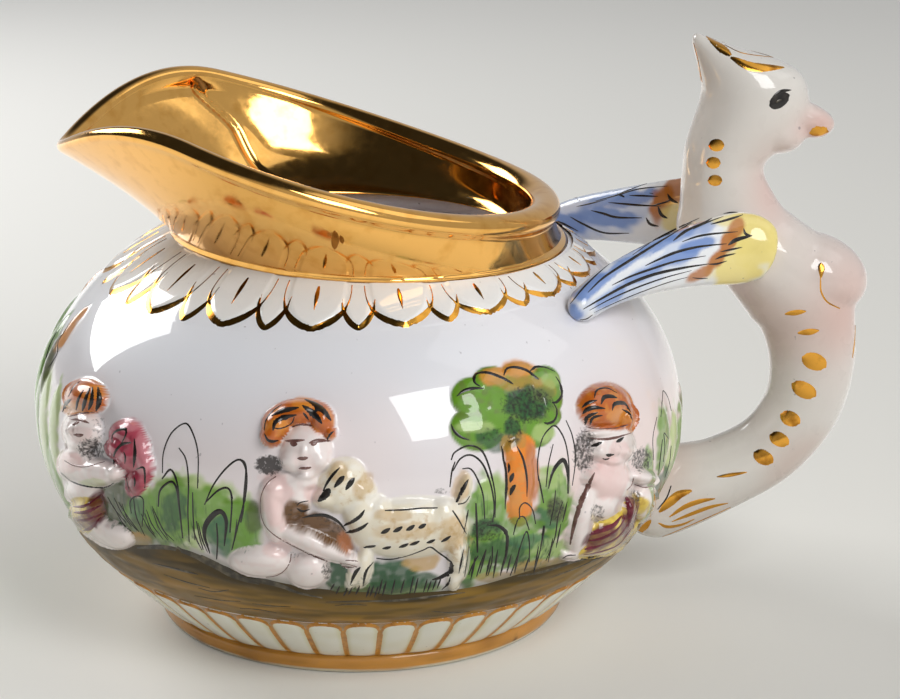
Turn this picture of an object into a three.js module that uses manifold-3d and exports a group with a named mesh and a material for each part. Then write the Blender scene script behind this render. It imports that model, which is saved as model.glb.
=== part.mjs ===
// A porcelain creamer: a squat round bowl on a tongued foot, a flared gold collar with a broad
// spout, a moulded frieze of figures, animals and plants, and a handle in the form of a winged
// creature with a curling tail. Millimetres, +Z up, the spout towards -X and the handle towards +X.
// Each mesh is a casting or a pressed sprig that a potter joins to the next with slip.

import * as THREE from 'three';
import { mergeVertices } from 'three/addons/utils/BufferGeometryUtils.js';
import Module from 'manifold-3d';

const wasm = await Module();
wasm.setup();

// Joints and fineness
const SEAT_GAP = 0.3; // film of slip between a piece and the surface it is stuck to
const ROUND_STEPS = 48; // facets round the bowl's axis
const ARC_STEPS = 5; // facets along each quarter of the bowl's outline
const MERGE_DISTANCE = 1e-4; // vertices closer than this are one vertex

// Bowl: two half-ellipses that meet at the belly, cut flat at the floor and at the neck
const FOOT_HEIGHT = 3.2;
const FLOOR_RADIUS = 33.2;
const BOWL_RADIUS = 56.3;
const BASE_DROP = 42.5; // semi-height of the lower ellipse
const SHOULDER_RISE = 37.5; // semi-height of the upper ellipse
const NECK_RADIUS = 34.8;
const WALL = 3.5;
const BELLY_HEIGHT = FOOT_HEIGHT + BASE_DROP * Math.sqrt(1 - (FLOOR_RADIUS / BOWL_RADIUS) ** 2);
const NECK_HEIGHT = BELLY_HEIGHT + SHOULDER_RISE * Math.sqrt(1 - (NECK_RADIUS / BOWL_RADIUS) ** 2);

// Foot and the band of upright tongues above it
const TONGUE_COUNT = 46;
const TONGUE_STEPS = 2; // facets across one tongue
const TONGUE_DEPTH = 2.8; // how far the band stands out at the foot
const TONGUE_RISE = 8.3; // height of the band above the foot
const TONGUE_LIP = 0.9; // thickness of the band at its top
const TONGUE_GROOVE = 0.7; // depth of the groove between two tongues
const FOOT_WIDTH = 10;
const FOOT_SWELL = 0.3; // how far the ring bulges past the tongues

// Strip of ground under the figures
const GROUND_DROP = 18.4; // its top below the belly, where the figures stand
const GROUND_RELIEF = 0.9;
const GROUND_SWELL = 0.8; // height of the waves along its top
const GROUND_WAVES = 6;

// Ring of large and small petals under the collar
const PETAL_COUNT = 36;
const PETAL_STEPS = 2; // facets across one petal
const PETAL_PHASE = 1.5; // share of a petal by which the first one is turned
const PETAL_RELIEF = 0.6;
const PETAL_ROOT = 2.4; // length of the ring in the notch between petals
const LARGE_PETAL = 2.7; // how far a petal reaches past the notches
const SMALL_PETAL = 2.3;

// Collar: its lip is an egg in plan, wide at the spout, that climbs from the handle to the spout
const COLLAR_STEP = 0.9; // ledge of bare neck left outside the collar
const COLLAR_STEPS = 48;
const FLARE_STEPS = 3; // facets up the flaring wall
const BACK_FLARE = 0.6; // lip past the neck, at the handle
const SIDE_FLARE = 7.2; // lip past the neck, at the sides
const SPOUT_REACH = 16.7; // lip past the neck, at the spout
const RIM_RISE = 6.4; // lip above the neck, at the handle
const SPOUT_RISE = 24.2; // how far the lip climbs towards the spout
const TIP_DROOP = 14.5; // how far the pouring tip turns down again
const TIP_SPREAD = Math.PI * 0.36; // half-angle of the drooping tip
const CLIMB_SHAPE = 1.4; // above 1 keeps the back of the rim level for longer
const EGG_BACK = 1; // roundness of the lip at the handle
const EGG_TIP = 1.4; // above 1 narrows the lip towards the tip
const BACK_ROLL = 5.6; // width of the rolled rim at the handle
const TIP_ROLL = 3; // width of the rolled rim at the tip
const ROLL_CROWN = 1.1; // how far the roll rises above its edges
const FLARE_OUT = 0.15; // where the wall's flare starts, outwards and upwards
const FLARE_UP = 0.32;

// Handle: sections along the creature's spine, from inside the bowl to inside the head, each as
// distance outside the belly, height above the belly, half-depth and half-width
const TAIL_SECTIONS = [
  [-10.3, -22.2, 7.2, 6.2],
  [-0.6, -18.2, 8.0, 6.4],
  [8.3, -15.2, 6.8, 6.2],
  [16.8, -10.4, 6.5, 6.2],
  [22.2, -3.2, 6.9, 6.4],
  [23.9, 4.5, 7.5, 6.8],
  [22.9, 12.0, 8.6, 7.4],
];
const TORSO_SECTIONS = [
  [20.4, 19.3, 10.8, 8.8],
  [14.6, 26.2, 10.9, 9.2],
  [9.0, 32.4, 8.8, 8.0],
];
const NECK_SECTIONS = [
  [7.2, 38.6, 7.3, 6.6],
  [8.4, 45.4, 7.4, 6.6],
  [11.0, 51.0, 6.4, 6.2],
];
const SPINE_SECTIONS = [...TAIL_SECTIONS, ...TORSO_SECTIONS, ...NECK_SECTIONS];
const SPINE_END = SPINE_SECTIONS.length - 1;
const WAIST = TAIL_SECTIONS.length - 1; // the section where the tail meets the torso
const COLLARBONE = WAIST + TORSO_SECTIONS.length; // where the torso meets the neck
const SPINE_STEPS = 2; // rings between two sections
const SPINE_SIDES = 12;

// Rounded forms on the spine: place, then half-lengths along X, Y and Z, then pitch in degrees
const CHEST = { at: [24.0, 0, 22.0], half: [9.4, 8.4, 6.8], pitch: 22 };
const CRANIUM = { at: [11.6, 0, 53.0], half: [9.6, 7.4, 8.2], pitch: 0 };
const SNOUT = { at: [20.8, 0, 48.6], half: [5.8, 4.2, 3.3], pitch: 6 };
const CREST = { at: [5.6, 0, 59.8], half: [6.6, 4.2, 3.2], pitch: 40 };
const FORM_SIDES = 10;
const FORM_RINGS = 7;

// Wings: from a shoulder of the torso to the bowl's shoulder
const WING_ROOT = [9.2, 4.0, 28.4]; // outside the belly, beside the spine, above the belly
const WING_MIDDLE = [-7.2, 17.6, 27.6];
const WING_TIP_ANGLE = THREE.MathUtils.degToRad(41); // where the tip rests, from the handle
const WING_TIP_DROP = 7.6; // below the neck
const WING_TIP_BITE = 2.4; // how far the tip runs into the bowl before it is cut to fit
const WING_LOBE = { at: [9.8, 8.4, 28.2], half: [5.8, 2.8, 6.2], pitch: 20 };
const WING_HALF_HEIGHTS = [6.0, 4.2, 2.0];
const WING_HALF_WIDTHS = [3.6, 2.8, 2.0];
const WING_STEPS = 8;
const WING_SIDES = 12;

// Pressed sprigs. Each lump of a sprig is given as: along the belly from the middle of the side,
// above the belly, half-width, half-height, relief, and turn in degrees
const FLOWER_PUTTO = {
  hair: [-54.6, 9.2, 4.9, 3.2, 4.2, 10],
  head: [-53.2, 5.8, 4.3, 4.6, 3.8, 0],
  torso: [-54.2, -2.5, 5.0, 7.0, 3.4, 8],
  drape: [-55.6, -10.6, 5.4, 4.6, 3.4, -12],
  leg: [-51.6, -15.0, 2.8, 4.4, 2.8, 20],
  arm: [-47.8, -2.4, 5.2, 1.9, 2.6, -12],
};
const FLOWER_BUNCH = {
  top: [-41.2, 6.2, 2.6, 2.4, 2.8, 0],
  left: [-43.6, 3.6, 2.4, 2.4, 2.8, 0],
  right: [-38.4, 3.8, 2.5, 2.4, 2.8, 0],
  heart: [-41.0, 3.2, 2.8, 2.8, 3.4, 0],
  lower: [-40.6, -0.2, 2.6, 2.8, 2.6, 0],
};
const KNEELING_PUTTO = {
  hair: [-9.6, 12.2, 7.0, 4.4, 5.0, -4],
  head: [-8.4, 8.2, 5.9, 6.4, 4.8, 0],
  torso: [-12.4, -2.6, 5.4, 8.0, 4.0, 8],
  forearm: [-7.0, -7.7, 5.6, 2.1, 4.4, 4],
  thigh: [-14.2, -11.4, 8.0, 3.4, 3.8, -6],
  shin: [-14.0, -14.4, 9.6, 2.5, 2.8, 0],
  foot: [-4.6, -14.2, 2.8, 1.8, 2.6, 0],
};
const GOAT = {
  body: [8.6, -5.6, 9.6, 4.9, 4.2, 0],
  neck: [1.2, -1.2, 3.6, 5.4, 3.8, 28],
  head: [-2.0, 2.6, 3.9, 2.9, 3.8, 18],
  muzzle: [-5.2, 0.6, 2.5, 1.8, 3.0, 25],
  ear: [1.8, 4.8, 1.5, 2.4, 2.6, -25],
  tail: [16.6, -1.8, 1.6, 4.4, 2.8, -12],
  foreleg: [2.0, -11.2, 1.8, 5.8, 3.0, 6],
  far_foreleg: [5.4, -11.8, 1.7, 5.0, 2.6, -4],
  hind_leg: [14.4, -11.0, 2.3, 5.6, 3.0, -8],
  far_hind_leg: [16.6, -11.8, 1.7, 5.0, 2.6, 6],
};
const TREE = {
  trunk: [26.4, -0.4, 2.1, 7.6, 2.8, 0],
  root: [27.0, -7.0, 2.8, 2.6, 2.2, 0],
  heart: [26.8, 10.6, 6.4, 5.0, 4.4, 0],
  lower_left: [19.4, 9.2, 3.8, 3.4, 3.0, 0],
  left: [20.4, 13.2, 4.6, 4.2, 3.6, 0],
  top: [26.0, 16.0, 5.2, 4.4, 4.0, 0],
  right: [31.8, 14.2, 4.8, 4.4, 3.6, 0],
  lower_right: [34.2, 10.2, 3.2, 3.2, 3.0, 0],
};
const DRAPED_PUTTO = {
  hair: [46.0, 9.0, 5.4, 3.7, 4.6, 0],
  head: [46.4, 4.8, 4.9, 5.2, 4.2, 0],
  torso: [45.6, -3.4, 5.3, 6.8, 3.6, -4],
  left_arm: [41.2, -8.2, 2.0, 7.0, 3.0, -6],
  right_arm: [51.2, -3.0, 4.6, 2.1, 3.0, -35],
  forearm: [51.8, -6.6, 3.4, 1.8, 3.0, 30],
  drape: [48.2, -11.8, 6.8, 4.8, 3.8, 12],
  leg: [42.6, -14.4, 2.5, 3.6, 2.8, 8],
};
const LUMP_SIDES = 7;
const LUMP_RINGS = 4;

// Plants: a fan of blades from one tuft
const TUFT = { rise: 2.4, halfWidth: 2.6, halfHeight: 4.4, relief: 2.0 };
const BLADE_HALF_WIDTH = 2.0;
const BLADE_RELIEF = 1.4;
const BLADE_SIDES = 5;
const BLADE_RINGS = 4;
const OUTER_BLADE = 0.75; // length of the outermost blade as a share of the middle one
const LEFT_GRASS = { root: [-29.4, -13.4], blades: 4, fan: 34, length: 13 };
const BACK_GRASS = { root: [-21.6, -7.2], blades: 3, fan: 16, length: 9.6 };
const MIDDLE_GRASS = { root: [21.8, -14.0], blades: 3, fan: 7, length: 11 };
const RIGHT_GRASS = { root: [33.8, -12.4], blades: 3, fan: 13, length: 15 };
const HANDLE_LEAVES = { root: [67.0, -14.0], blades: 3, fan: 9, length: 20 };
const SPOUT_PLANT = { root: [0, -14.0], blades: 5, fan: 26, length: 28 };

// Glaze colours
const WHITE_GLAZE = { color: 0xece4e8, roughness: 0.12, metalness: 0 };
const GOLD = { color: 0xc8922e, roughness: 0.15, metalness: 1 };
const CREAM_GLAZE = { color: 0xefe8c8, roughness: 0.15, metalness: 0 };
const EARTH_GLAZE = { color: 0x6d5a2c, roughness: 0.2, metalness: 0 };
const SKIN_GLAZE = { color: 0xf0dcd8, roughness: 0.14, metalness: 0 };
const BERRY_GLAZE = { color: 0x8c2f45, roughness: 0.16, metalness: 0 };
const GOAT_GLAZE = { color: 0xe3cf98, roughness: 0.14, metalness: 0 };
const LEAF_GLAZE = { color: 0x5d8a35, roughness: 0.16, metalness: 0 };
const WING_GLAZE = { color: 0x7f9ccc, roughness: 0.14, metalness: 0 };

function solidOf(geometry) {
  geometry.deleteAttribute('normal');
  geometry.deleteAttribute('uv');
  const merged = mergeVertices(geometry, MERGE_DISTANCE);
  const vertProperties = new Float32Array(merged.attributes.position.array);
  const triVerts = new Uint32Array(merged.index.array);
  return new wasm.Manifold(new wasm.Mesh({ numProp: 3, vertProperties, triVerts }));
}

function geometryOf(solid) {
  const mesh = solid.getMesh();
  const geometry = new THREE.BufferGeometry();
  geometry.setAttribute('position', new THREE.BufferAttribute(mesh.vertProperties, 3));
  geometry.setIndex(new THREE.BufferAttribute(mesh.triVerts, 1));
  geometry.computeVertexNormals();
  return geometry;
}

function piece(name, solid, glaze) {
  const mesh = new THREE.Mesh(geometryOf(solid), new THREE.MeshStandardMaterial(glaze));
  mesh.name = name;
  return mesh;
}

// A solid of revolution round Z from a closed profile of radius and height
function lathe(profile) {
  const geometry = new THREE.LatheGeometry(profile, ROUND_STEPS);
  return solidOf(geometry.rotateX(Math.PI / 2));
}

// A ring round Z whose closed section may change with the angle
function sweptRing(steps, sectionAt) {
  const positions = [];
  const faces = [];
  const corners = sectionAt(0).length;
  for (let step = 0; step < steps; step += 1) {
    const section = sectionAt((2 * Math.PI * step) / steps);
    const next = (step + 1) % steps;
    section.forEach((point, corner) => {
      const above = (corner + 1) % corners;
      positions.push(point.x, point.y, point.z);
      faces.push(step * corners + corner, next * corners + corner, next * corners + above);
      faces.push(step * corners + corner, next * corners + above, step * corners + above);
    });
  }
  return solidFromFaces(positions, faces);
}

// A closed skin over a row of rings with the same number of points
function loft(rings) {
  const sides = rings[0].length;
  const positions = rings.flat().flatMap((point) => point.toArray());
  const faces = [];
  const ends = [rings[0], rings[rings.length - 1]];
  ends.forEach((ring) => {
    const middle = ring.reduce((sum, point) => sum.add(point), new THREE.Vector3());
    positions.push(...middle.divideScalar(sides).toArray());
  });
  const firstMiddle = rings.length * sides;
  const lastRing = (rings.length - 1) * sides;
  for (let side = 0; side < sides; side += 1) {
    const next = (side + 1) % sides;
    for (let ring = 0; ring < lastRing; ring += sides) {
      faces.push(ring + side, ring + next, ring + sides + next);
      faces.push(ring + side, ring + sides + next, ring + sides + side);
    }
    faces.push(firstMiddle, next, side);
    faces.push(firstMiddle + 1, lastRing + side, lastRing + next);
  }
  return solidFromFaces(positions, faces);
}

function solidFromFaces(positions, faces) {
  const geometry = new THREE.BufferGeometry();
  geometry.setAttribute('position', new THREE.Float32BufferAttribute(positions, 3));
  geometry.setIndex(faces);
  return solidOf(geometry);
}

// The bowl's outside, or a surface a little outside it
function bowlRadius(height, offset) {
  const rise = height > BELLY_HEIGHT ? SHOULDER_RISE : BASE_DROP;
  const share = (height - BELLY_HEIGHT) / (rise + offset);
  return (BOWL_RADIUS + offset) * Math.sqrt(1 - share ** 2);
}

function polar(radius, angle, height) {
  return new THREE.Vector3(radius * Math.cos(angle), radius * Math.sin(angle), height);
}

// The bowl's outline from one height up to another, as radius and height
function bowlOutline(bottom, top, offset) {
  const lowAngle = Math.asin((bottom - BELLY_HEIGHT) / (BASE_DROP + offset));
  const highAngle = Math.asin((top - BELLY_HEIGHT) / (SHOULDER_RISE + offset));
  const radius = BOWL_RADIUS + offset;
  const lower = new THREE.EllipseCurve(0, BELLY_HEIGHT, radius, BASE_DROP + offset, lowAngle, 0);
  const upper = new THREE.EllipseCurve(0, BELLY_HEIGHT, radius, SHOULDER_RISE + offset, 0, highAngle);
  return [...lower.getPoints(ARC_STEPS).slice(0, -1), ...upper.getPoints(ARC_STEPS)];
}

function bowl() {
  const outside = bowlOutline(FOOT_HEIGHT, NECK_HEIGHT, 0);
  const inside = bowlOutline(FOOT_HEIGHT + WALL, NECK_HEIGHT, -WALL).reverse();
  const bottom = new THREE.Vector2(0, FOOT_HEIGHT);
  const floor = new THREE.Vector2(0, FOOT_HEIGHT + WALL);
  return lathe([bottom, ...outside, ...inside, floor]);
}

// The outside of the bowl grown by the film of slip: whatever sits on the bowl is cut to this
function bowlSeat() {
  const outline = bowlOutline(FOOT_HEIGHT, NECK_HEIGHT, SEAT_GAP);
  const bottom = new THREE.Vector2(0, FOOT_HEIGHT);
  const top = new THREE.Vector2(0, NECK_HEIGHT);
  return lathe([bottom, ...outline, top]);
}

function footRing() {
  const outer = FLOOR_RADIUS + TONGUE_DEPTH;
  const inner = outer - FOOT_WIDTH;
  const corners = [
    [inner, 0],
    [outer, 0],
    [outer + FOOT_SWELL, FOOT_HEIGHT / 2],
    [outer, FOOT_HEIGHT],
    [inner, FOOT_HEIGHT],
    [inner, 0],
  ];
  return lathe(corners.map(([radius, height]) => new THREE.Vector2(radius, height)));
}

// The tongue band rises from the foot; grown, it is the seat that clears it
function tongueBand(grow) {
  const top = FOOT_HEIGHT + TONGUE_RISE;
  const middle = FOOT_HEIGHT + TONGUE_RISE / 2;
  const inset = SEAT_GAP - grow;
  const lipRadius = bowlRadius(top, SEAT_GAP + TONGUE_LIP);
  const footRadius = FLOOR_RADIUS + TONGUE_DEPTH;
  const middleRadius = (footRadius + lipRadius) / 2 + TONGUE_GROOVE;
  return sweptRing(TONGUE_COUNT * TONGUE_STEPS, (angle) => {
    const crown = Math.abs(Math.sin((angle * TONGUE_COUNT) / 2));
    const groove = grow > 0 ? 0 : TONGUE_GROOVE * (1 - crown);
    return [
      polar(footRadius + grow, angle, FOOT_HEIGHT),
      polar(middleRadius + grow - groove, angle, middle),
      polar(lipRadius + grow - groove, angle, top + grow),
      polar(bowlRadius(top, inset), angle, top + grow),
      polar(bowlRadius(middle, inset), angle, middle),
      polar(bowlRadius(FOOT_HEIGHT, inset), angle, FOOT_HEIGHT),
    ];
  });
}

// A band that lies on the bowl between heights that may change with the angle
function belt(steps, inset, outset, heightsAt) {
  return sweptRing(steps, (angle) => {
    const heights = heightsAt(angle);
    const outside = heights.map((height) => polar(bowlRadius(height, outset), angle, height));
    const inside = heights.map((height) => polar(bowlRadius(height, inset), angle, height));
    return [...outside, ...inside.reverse()];
  });
}

// The strip of ground above the tongues, with a rolling top edge
function groundBand(grow) {
  const bottom = FOOT_HEIGHT + TONGUE_RISE + SEAT_GAP - grow;
  return belt(ROUND_STEPS, SEAT_GAP - grow, SEAT_GAP + GROUND_RELIEF + grow, (angle) => {
    const wave = GROUND_SWELL * Math.cos(GROUND_WAVES * angle);
    const top = BELLY_HEIGHT - GROUND_DROP + wave + grow;
    return [bottom, (bottom + top) / 2, top];
  });
}

// Petals hang down the shoulder from the collar, large and small by turns
function petalRing() {
  const top = NECK_HEIGHT - SEAT_GAP;
  return belt(PETAL_COUNT * PETAL_STEPS, SEAT_GAP, SEAT_GAP + PETAL_RELIEF, (angle) => {
    const place = (angle * PETAL_COUNT) / (2 * Math.PI) + PETAL_PHASE;
    const reach = Math.floor(place) % 2 === 0 ? SMALL_PETAL : LARGE_PETAL;
    return [top - PETAL_ROOT - reach * Math.abs(Math.sin(Math.PI * place)), top];
  });
}

// The strip of shoulder that the petals fill, grown by the film of slip
function petalSeat() {
  const bottom = NECK_HEIGHT - PETAL_ROOT - LARGE_PETAL - 2 * SEAT_GAP;
  return belt(ROUND_STEPS, 0, PETAL_RELIEF + 2 * SEAT_GAP, () => [bottom, NECK_HEIGHT]);
}

// A point on the collar's lip: the angle runs from the spout's tip round to the handle
function lipPoint(angle, inset) {
  const back = NECK_RADIUS + BACK_FLARE - inset;
  const tip = -(NECK_RADIUS + SPOUT_REACH - inset);
  const side = NECK_RADIUS + SIDE_FLARE - inset;
  const towardsTip = (1 + Math.cos(angle)) / 2;
  const egg = EGG_BACK + (EGG_TIP - EGG_BACK) * towardsTip;
  const across = Math.sign(Math.sin(angle)) * Math.abs(Math.sin(angle)) ** egg;
  const fromTip = Math.min(angle, 2 * Math.PI - angle);
  const droop = fromTip < TIP_SPREAD ? Math.cos((fromTip / TIP_SPREAD) * (Math.PI / 2)) ** 2 : 0;
  const climb = SPOUT_RISE * towardsTip ** CLIMB_SHAPE - TIP_DROOP * droop;
  const x = (back + tip) / 2 - ((back - tip) / 2) * Math.cos(angle);
  return new THREE.Vector3(x, -side * across, NECK_HEIGHT + RIM_RISE + climb);
}

// The flaring wall between a point on the neck and a point on the lip
function flare(neck, lip) {
  const start = new THREE.Vector3(
    THREE.MathUtils.lerp(neck.x, lip.x, FLARE_OUT),
    THREE.MathUtils.lerp(neck.y, lip.y, FLARE_OUT),
    THREE.MathUtils.lerp(neck.z, lip.z, FLARE_UP),
  );
  return new THREE.QuadraticBezierCurve3(neck, start, lip).getPoints(FLARE_STEPS);
}

function spoutCollar() {
  const outerNeck = NECK_RADIUS - COLLAR_STEP;
  const mouth = bowlRadius(NECK_HEIGHT, -WALL);
  return sweptRing(COLLAR_STEPS, (angle) => {
    const round = angle + Math.PI;
    const roll = THREE.MathUtils.lerp(BACK_ROLL, TIP_ROLL, (1 + Math.cos(angle)) / 2);
    const crown = lipPoint(angle, roll / 2);
    crown.z += ROLL_CROWN;
    const outside = flare(polar(outerNeck, round, NECK_HEIGHT), lipPoint(angle, 0));
    const inside = flare(polar(mouth, round, NECK_HEIGHT), lipPoint(angle, roll)).reverse();
    return [...outside, crown, ...inside];
  });
}

// A place on the handle, given outside and above the belly
function handlePoint(outside, beside, above) {
  return new THREE.Vector3(BOWL_RADIUS + outside, beside, BELLY_HEIGHT + above);
}

const spine = new THREE.CatmullRomCurve3(
  SPINE_SECTIONS.map(([outside, above]) => handlePoint(outside, 0, above)),
);
const girth = new THREE.CatmullRomCurve3(
  SPINE_SECTIONS.map(([, , depth, width]) => new THREE.Vector3(depth, width, 0)),
);

// Ring of points round the spine at a place between 0 and 1 along it
function spineRing(place, grow) {
  const centre = spine.getPoint(place);
  const along = spine.getTangent(place);
  const outward = new THREE.Vector3(along.z, 0, -along.x);
  const size = girth.getPoint(place);
  return Array.from({ length: SPINE_SIDES }, (_, side) => {
    const angle = (2 * Math.PI * side) / SPINE_SIDES;
    const point = centre.clone().addScaledVector(outward, (size.x + grow) * Math.cos(angle));
    point.y += (size.y + grow) * Math.sin(angle);
    return point;
  });
}

// The stretch of the creature's body between two of its sections
function spineStretch(first, last, grow) {
  const rings = [];
  for (let step = first * SPINE_STEPS; step <= last * SPINE_STEPS; step += 1) {
    rings.push(spineRing(step / SPINE_STEPS / SPINE_END, grow));
  }
  return loft(rings);
}

function roundedForm({ at, half, pitch }) {
  const geometry = new THREE.SphereGeometry(1, FORM_SIDES, FORM_RINGS);
  geometry.scale(...half);
  geometry.rotateY(THREE.MathUtils.degToRad(pitch));
  const centre = handlePoint(...at);
  geometry.translate(centre.x, centre.y, centre.z);
  return solidOf(geometry);
}

function torso() {
  return spineStretch(WAIST, COLLARBONE, 0).add(roundedForm(CHEST));
}

function head() {
  const neck = spineStretch(COLLARBONE, SPINE_END, 0);
  return neck.add(roundedForm(CRANIUM)).add(roundedForm(SNOUT)).add(roundedForm(CREST));
}

function wing(sign) {
  const tipHeight = NECK_HEIGHT - WING_TIP_DROP;
  const tipRadius = bowlRadius(tipHeight, -WING_TIP_BITE);
  const root = handlePoint(WING_ROOT[0], sign * WING_ROOT[1], WING_ROOT[2]);
  const middle = handlePoint(WING_MIDDLE[0], sign * WING_MIDDLE[1], WING_MIDDLE[2]);
  const tip = polar(tipRadius, sign * WING_TIP_ANGLE, tipHeight);
  const path = new THREE.QuadraticBezierCurve3(tip, middle, root);
  const heights = new THREE.SplineCurve(
    WING_HALF_HEIGHTS.map((halfHeight, index) => new THREE.Vector2(halfHeight, WING_HALF_WIDTHS[index])),
  );
  const up = new THREE.Vector3(0, 0, 1);
  const rings = Array.from({ length: WING_STEPS + 1 }, (_, step) => {
    const place = step / WING_STEPS;
    const centre = path.getPoint(place);
    const across = path.getTangent(place).cross(up).normalize();
    const size = heights.getPoint(1 - place);
    return Array.from({ length: WING_SIDES }, (__, side) => {
      const angle = (2 * Math.PI * side) / WING_SIDES;
      const point = centre.clone().addScaledVector(across, size.y * Math.sin(angle));
      point.z += size.x * Math.cos(angle);
      return point;
    });
  });
  const body = spineStretch(WAIST, SPINE_END, SEAT_GAP);
  const [outside, beside, above] = WING_LOBE.at;
  const lobe = roundedForm({ ...WING_LOBE, at: [outside, sign * beside, above] });
  return loft(rings).add(lobe).subtract(seat).subtract(petalSeat()).subtract(body);
}

// Placing frame on the bowl: X along the belly, Y up the surface, Z straight out of it
function surfaceFrame(angle, height) {
  const rise = height > BELLY_HEIGHT ? SHOULDER_RISE : BASE_DROP;
  const radius = bowlRadius(height, 0);
  const slope = new THREE.Vector2(radius / BOWL_RADIUS ** 2, (height - BELLY_HEIGHT) / rise ** 2);
  slope.normalize();
  const along = new THREE.Vector3(-Math.sin(angle), Math.cos(angle), 0);
  const out = polar(slope.x, angle, slope.y);
  const up = out.clone().cross(along);
  return new THREE.Matrix4().makeBasis(along, up, out).setPosition(polar(radius, angle, height));
}

function placeLump(geometry, [along, above, halfWidth, halfHeight, relief, turn], side) {
  const angle = side.middle + (side.sense * along) / BOWL_RADIUS;
  geometry.scale(halfWidth, halfHeight, relief);
  geometry.rotateZ(THREE.MathUtils.degToRad(turn * side.sense));
  return solidOf(geometry.applyMatrix4(surfaceFrame(angle, BELLY_HEIGHT + above)));
}

// A figure or an animal: rounded lumps that run into one another
function figure(lumps, side, grow) {
  const solids = Object.values(lumps).map((lump) => {
    const [along, above, halfWidth, halfHeight, relief, turn] = lump;
    const grown = [along, above, halfWidth + grow, halfHeight + grow, relief + grow, turn];
    return placeLump(new THREE.SphereGeometry(1, LUMP_SIDES, LUMP_RINGS), grown, side);
  });
  return solids.reduce((whole, solid) => whole.add(solid));
}

// A plant: blades that fan out of a tuft at the root, the middle one longest
function plant({ root, blades, fan, length }, side, grow) {
  const tuftSizes = [TUFT.halfWidth + grow, TUFT.halfHeight + grow, TUFT.relief + grow];
  const tuftShape = new THREE.SphereGeometry(1, LUMP_SIDES, LUMP_RINGS);
  const tuft = placeLump(tuftShape, [root[0], root[1] + TUFT.rise, ...tuftSizes, 0], side);
  const solids = Array.from({ length: blades }, (_, index) => {
    const share = (2 * index) / (blades - 1) - 1;
    const half = (length / 2) * (1 - (1 - OUTER_BLADE) * Math.abs(share));
    const lean = THREE.MathUtils.degToRad(fan * share);
    const along = root[0] + half * Math.sin(lean);
    const above = root[1] + half * Math.cos(lean);
    const sizes = [BLADE_HALF_WIDTH + grow, half + grow, BLADE_RELIEF + grow];
    const blade = new THREE.SphereGeometry(1, BLADE_SIDES, BLADE_RINGS);
    return placeLump(blade, [along, above, ...sizes, -fan * share], side);
  });
  return solids.reduce((whole, solid) => whole.add(solid), tuft);
}

const seat = bowlSeat().add(tongueBand(SEAT_GAP)).add(groundBand(SEAT_GAP));

// The sprigs of one side, front to back: each is cut clear of the bowl and of those in front of it
const SPRIGS = [
  ['kneeling_putto', figure, KNEELING_PUTTO, SKIN_GLAZE],
  ['goat', figure, GOAT, GOAT_GLAZE],
  ['tree', figure, TREE, LEAF_GLAZE],
  ['draped_putto', figure, DRAPED_PUTTO, SKIN_GLAZE],
  ['flower_putto', figure, FLOWER_PUTTO, SKIN_GLAZE],
  ['flower_bunch', figure, FLOWER_BUNCH, BERRY_GLAZE],
  ['left_grass', plant, LEFT_GRASS, LEAF_GLAZE],
  ['back_grass', plant, BACK_GRASS, LEAF_GLAZE],
  ['middle_grass', plant, MIDDLE_GRASS, LEAF_GLAZE],
  ['right_grass', plant, RIGHT_GRASS, LEAF_GLAZE],
  ['handle_leaves', plant, HANDLE_LEAVES, LEAF_GLAZE],
];

function sideSprigs(name, side) {
  let taken = seat;
  return SPRIGS.map(([sprig, shape, sizes, glaze]) => {
    const solid = shape(sizes, side, 0).subtract(taken);
    taken = taken.add(shape(sizes, side, SEAT_GAP));
    return piece(`${sprig}_${name}`, solid, glaze);
  });
}

const LEFT_SIDE = { middle: -Math.PI / 2, sense: 1 };
const RIGHT_SIDE = { middle: Math.PI / 2, sense: -1 };
const SPOUT_SIDE = { middle: Math.PI, sense: 1 };

const jug = new THREE.Group();
jug.add(piece('bowl', bowl(), WHITE_GLAZE));
jug.add(piece('foot_ring', footRing(), GOLD));
jug.add(piece('tongue_band', tongueBand(0), CREAM_GLAZE));
jug.add(piece('ground_band', groundBand(0), EARTH_GLAZE));
jug.add(piece('petal_ring', petalRing(), WHITE_GLAZE));
jug.add(piece('spout_collar', spoutCollar(), GOLD));
jug.add(piece('tail_handle', spineStretch(0, WAIST, 0).subtract(seat), WHITE_GLAZE));
jug.add(piece('torso', torso(), WHITE_GLAZE));
jug.add(piece('head', head(), WHITE_GLAZE));
jug.add(piece('wing_left', wing(-1), WING_GLAZE));
jug.add(piece('wing_right', wing(1), WING_GLAZE));
jug.add(...sideSprigs('left', LEFT_SIDE));
jug.add(...sideSprigs('right', RIGHT_SIDE));
jug.add(piece('spout_plant', plant(SPOUT_PLANT, SPOUT_SIDE, 0).subtract(seat), LEAF_GLAZE));

// The origin lies on the table, midway between the spout's tip and the handle
const middle = new THREE.Box3().setFromObject(jug).getCenter(new THREE.Vector3());
jug.position.set(-middle.x, -middle.y, 0);

const creamer = new THREE.Group();
creamer.add(jug);

export default creamer;
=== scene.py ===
# %% [markdown]
# # A porcelain creamer, dressed for the camera
#
# The solid model of this cream jug comes in as a fixed frame: a squat bowl on a tongued foot, a gold
# collar with a broad spout, a moulded frieze, and a handle in the form of a winged creature.
# This lesson gives each solid the finished surface of the real thing: fine relief, painted enamels
# and fired gold. Everything is in metres in the same frame as the solids.

# %% Load the frame
import math

import bmesh
import bpy
import numpy as np
from mathutils import Matrix, Vector
from mathutils.bvhtree import BVHTree


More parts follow.
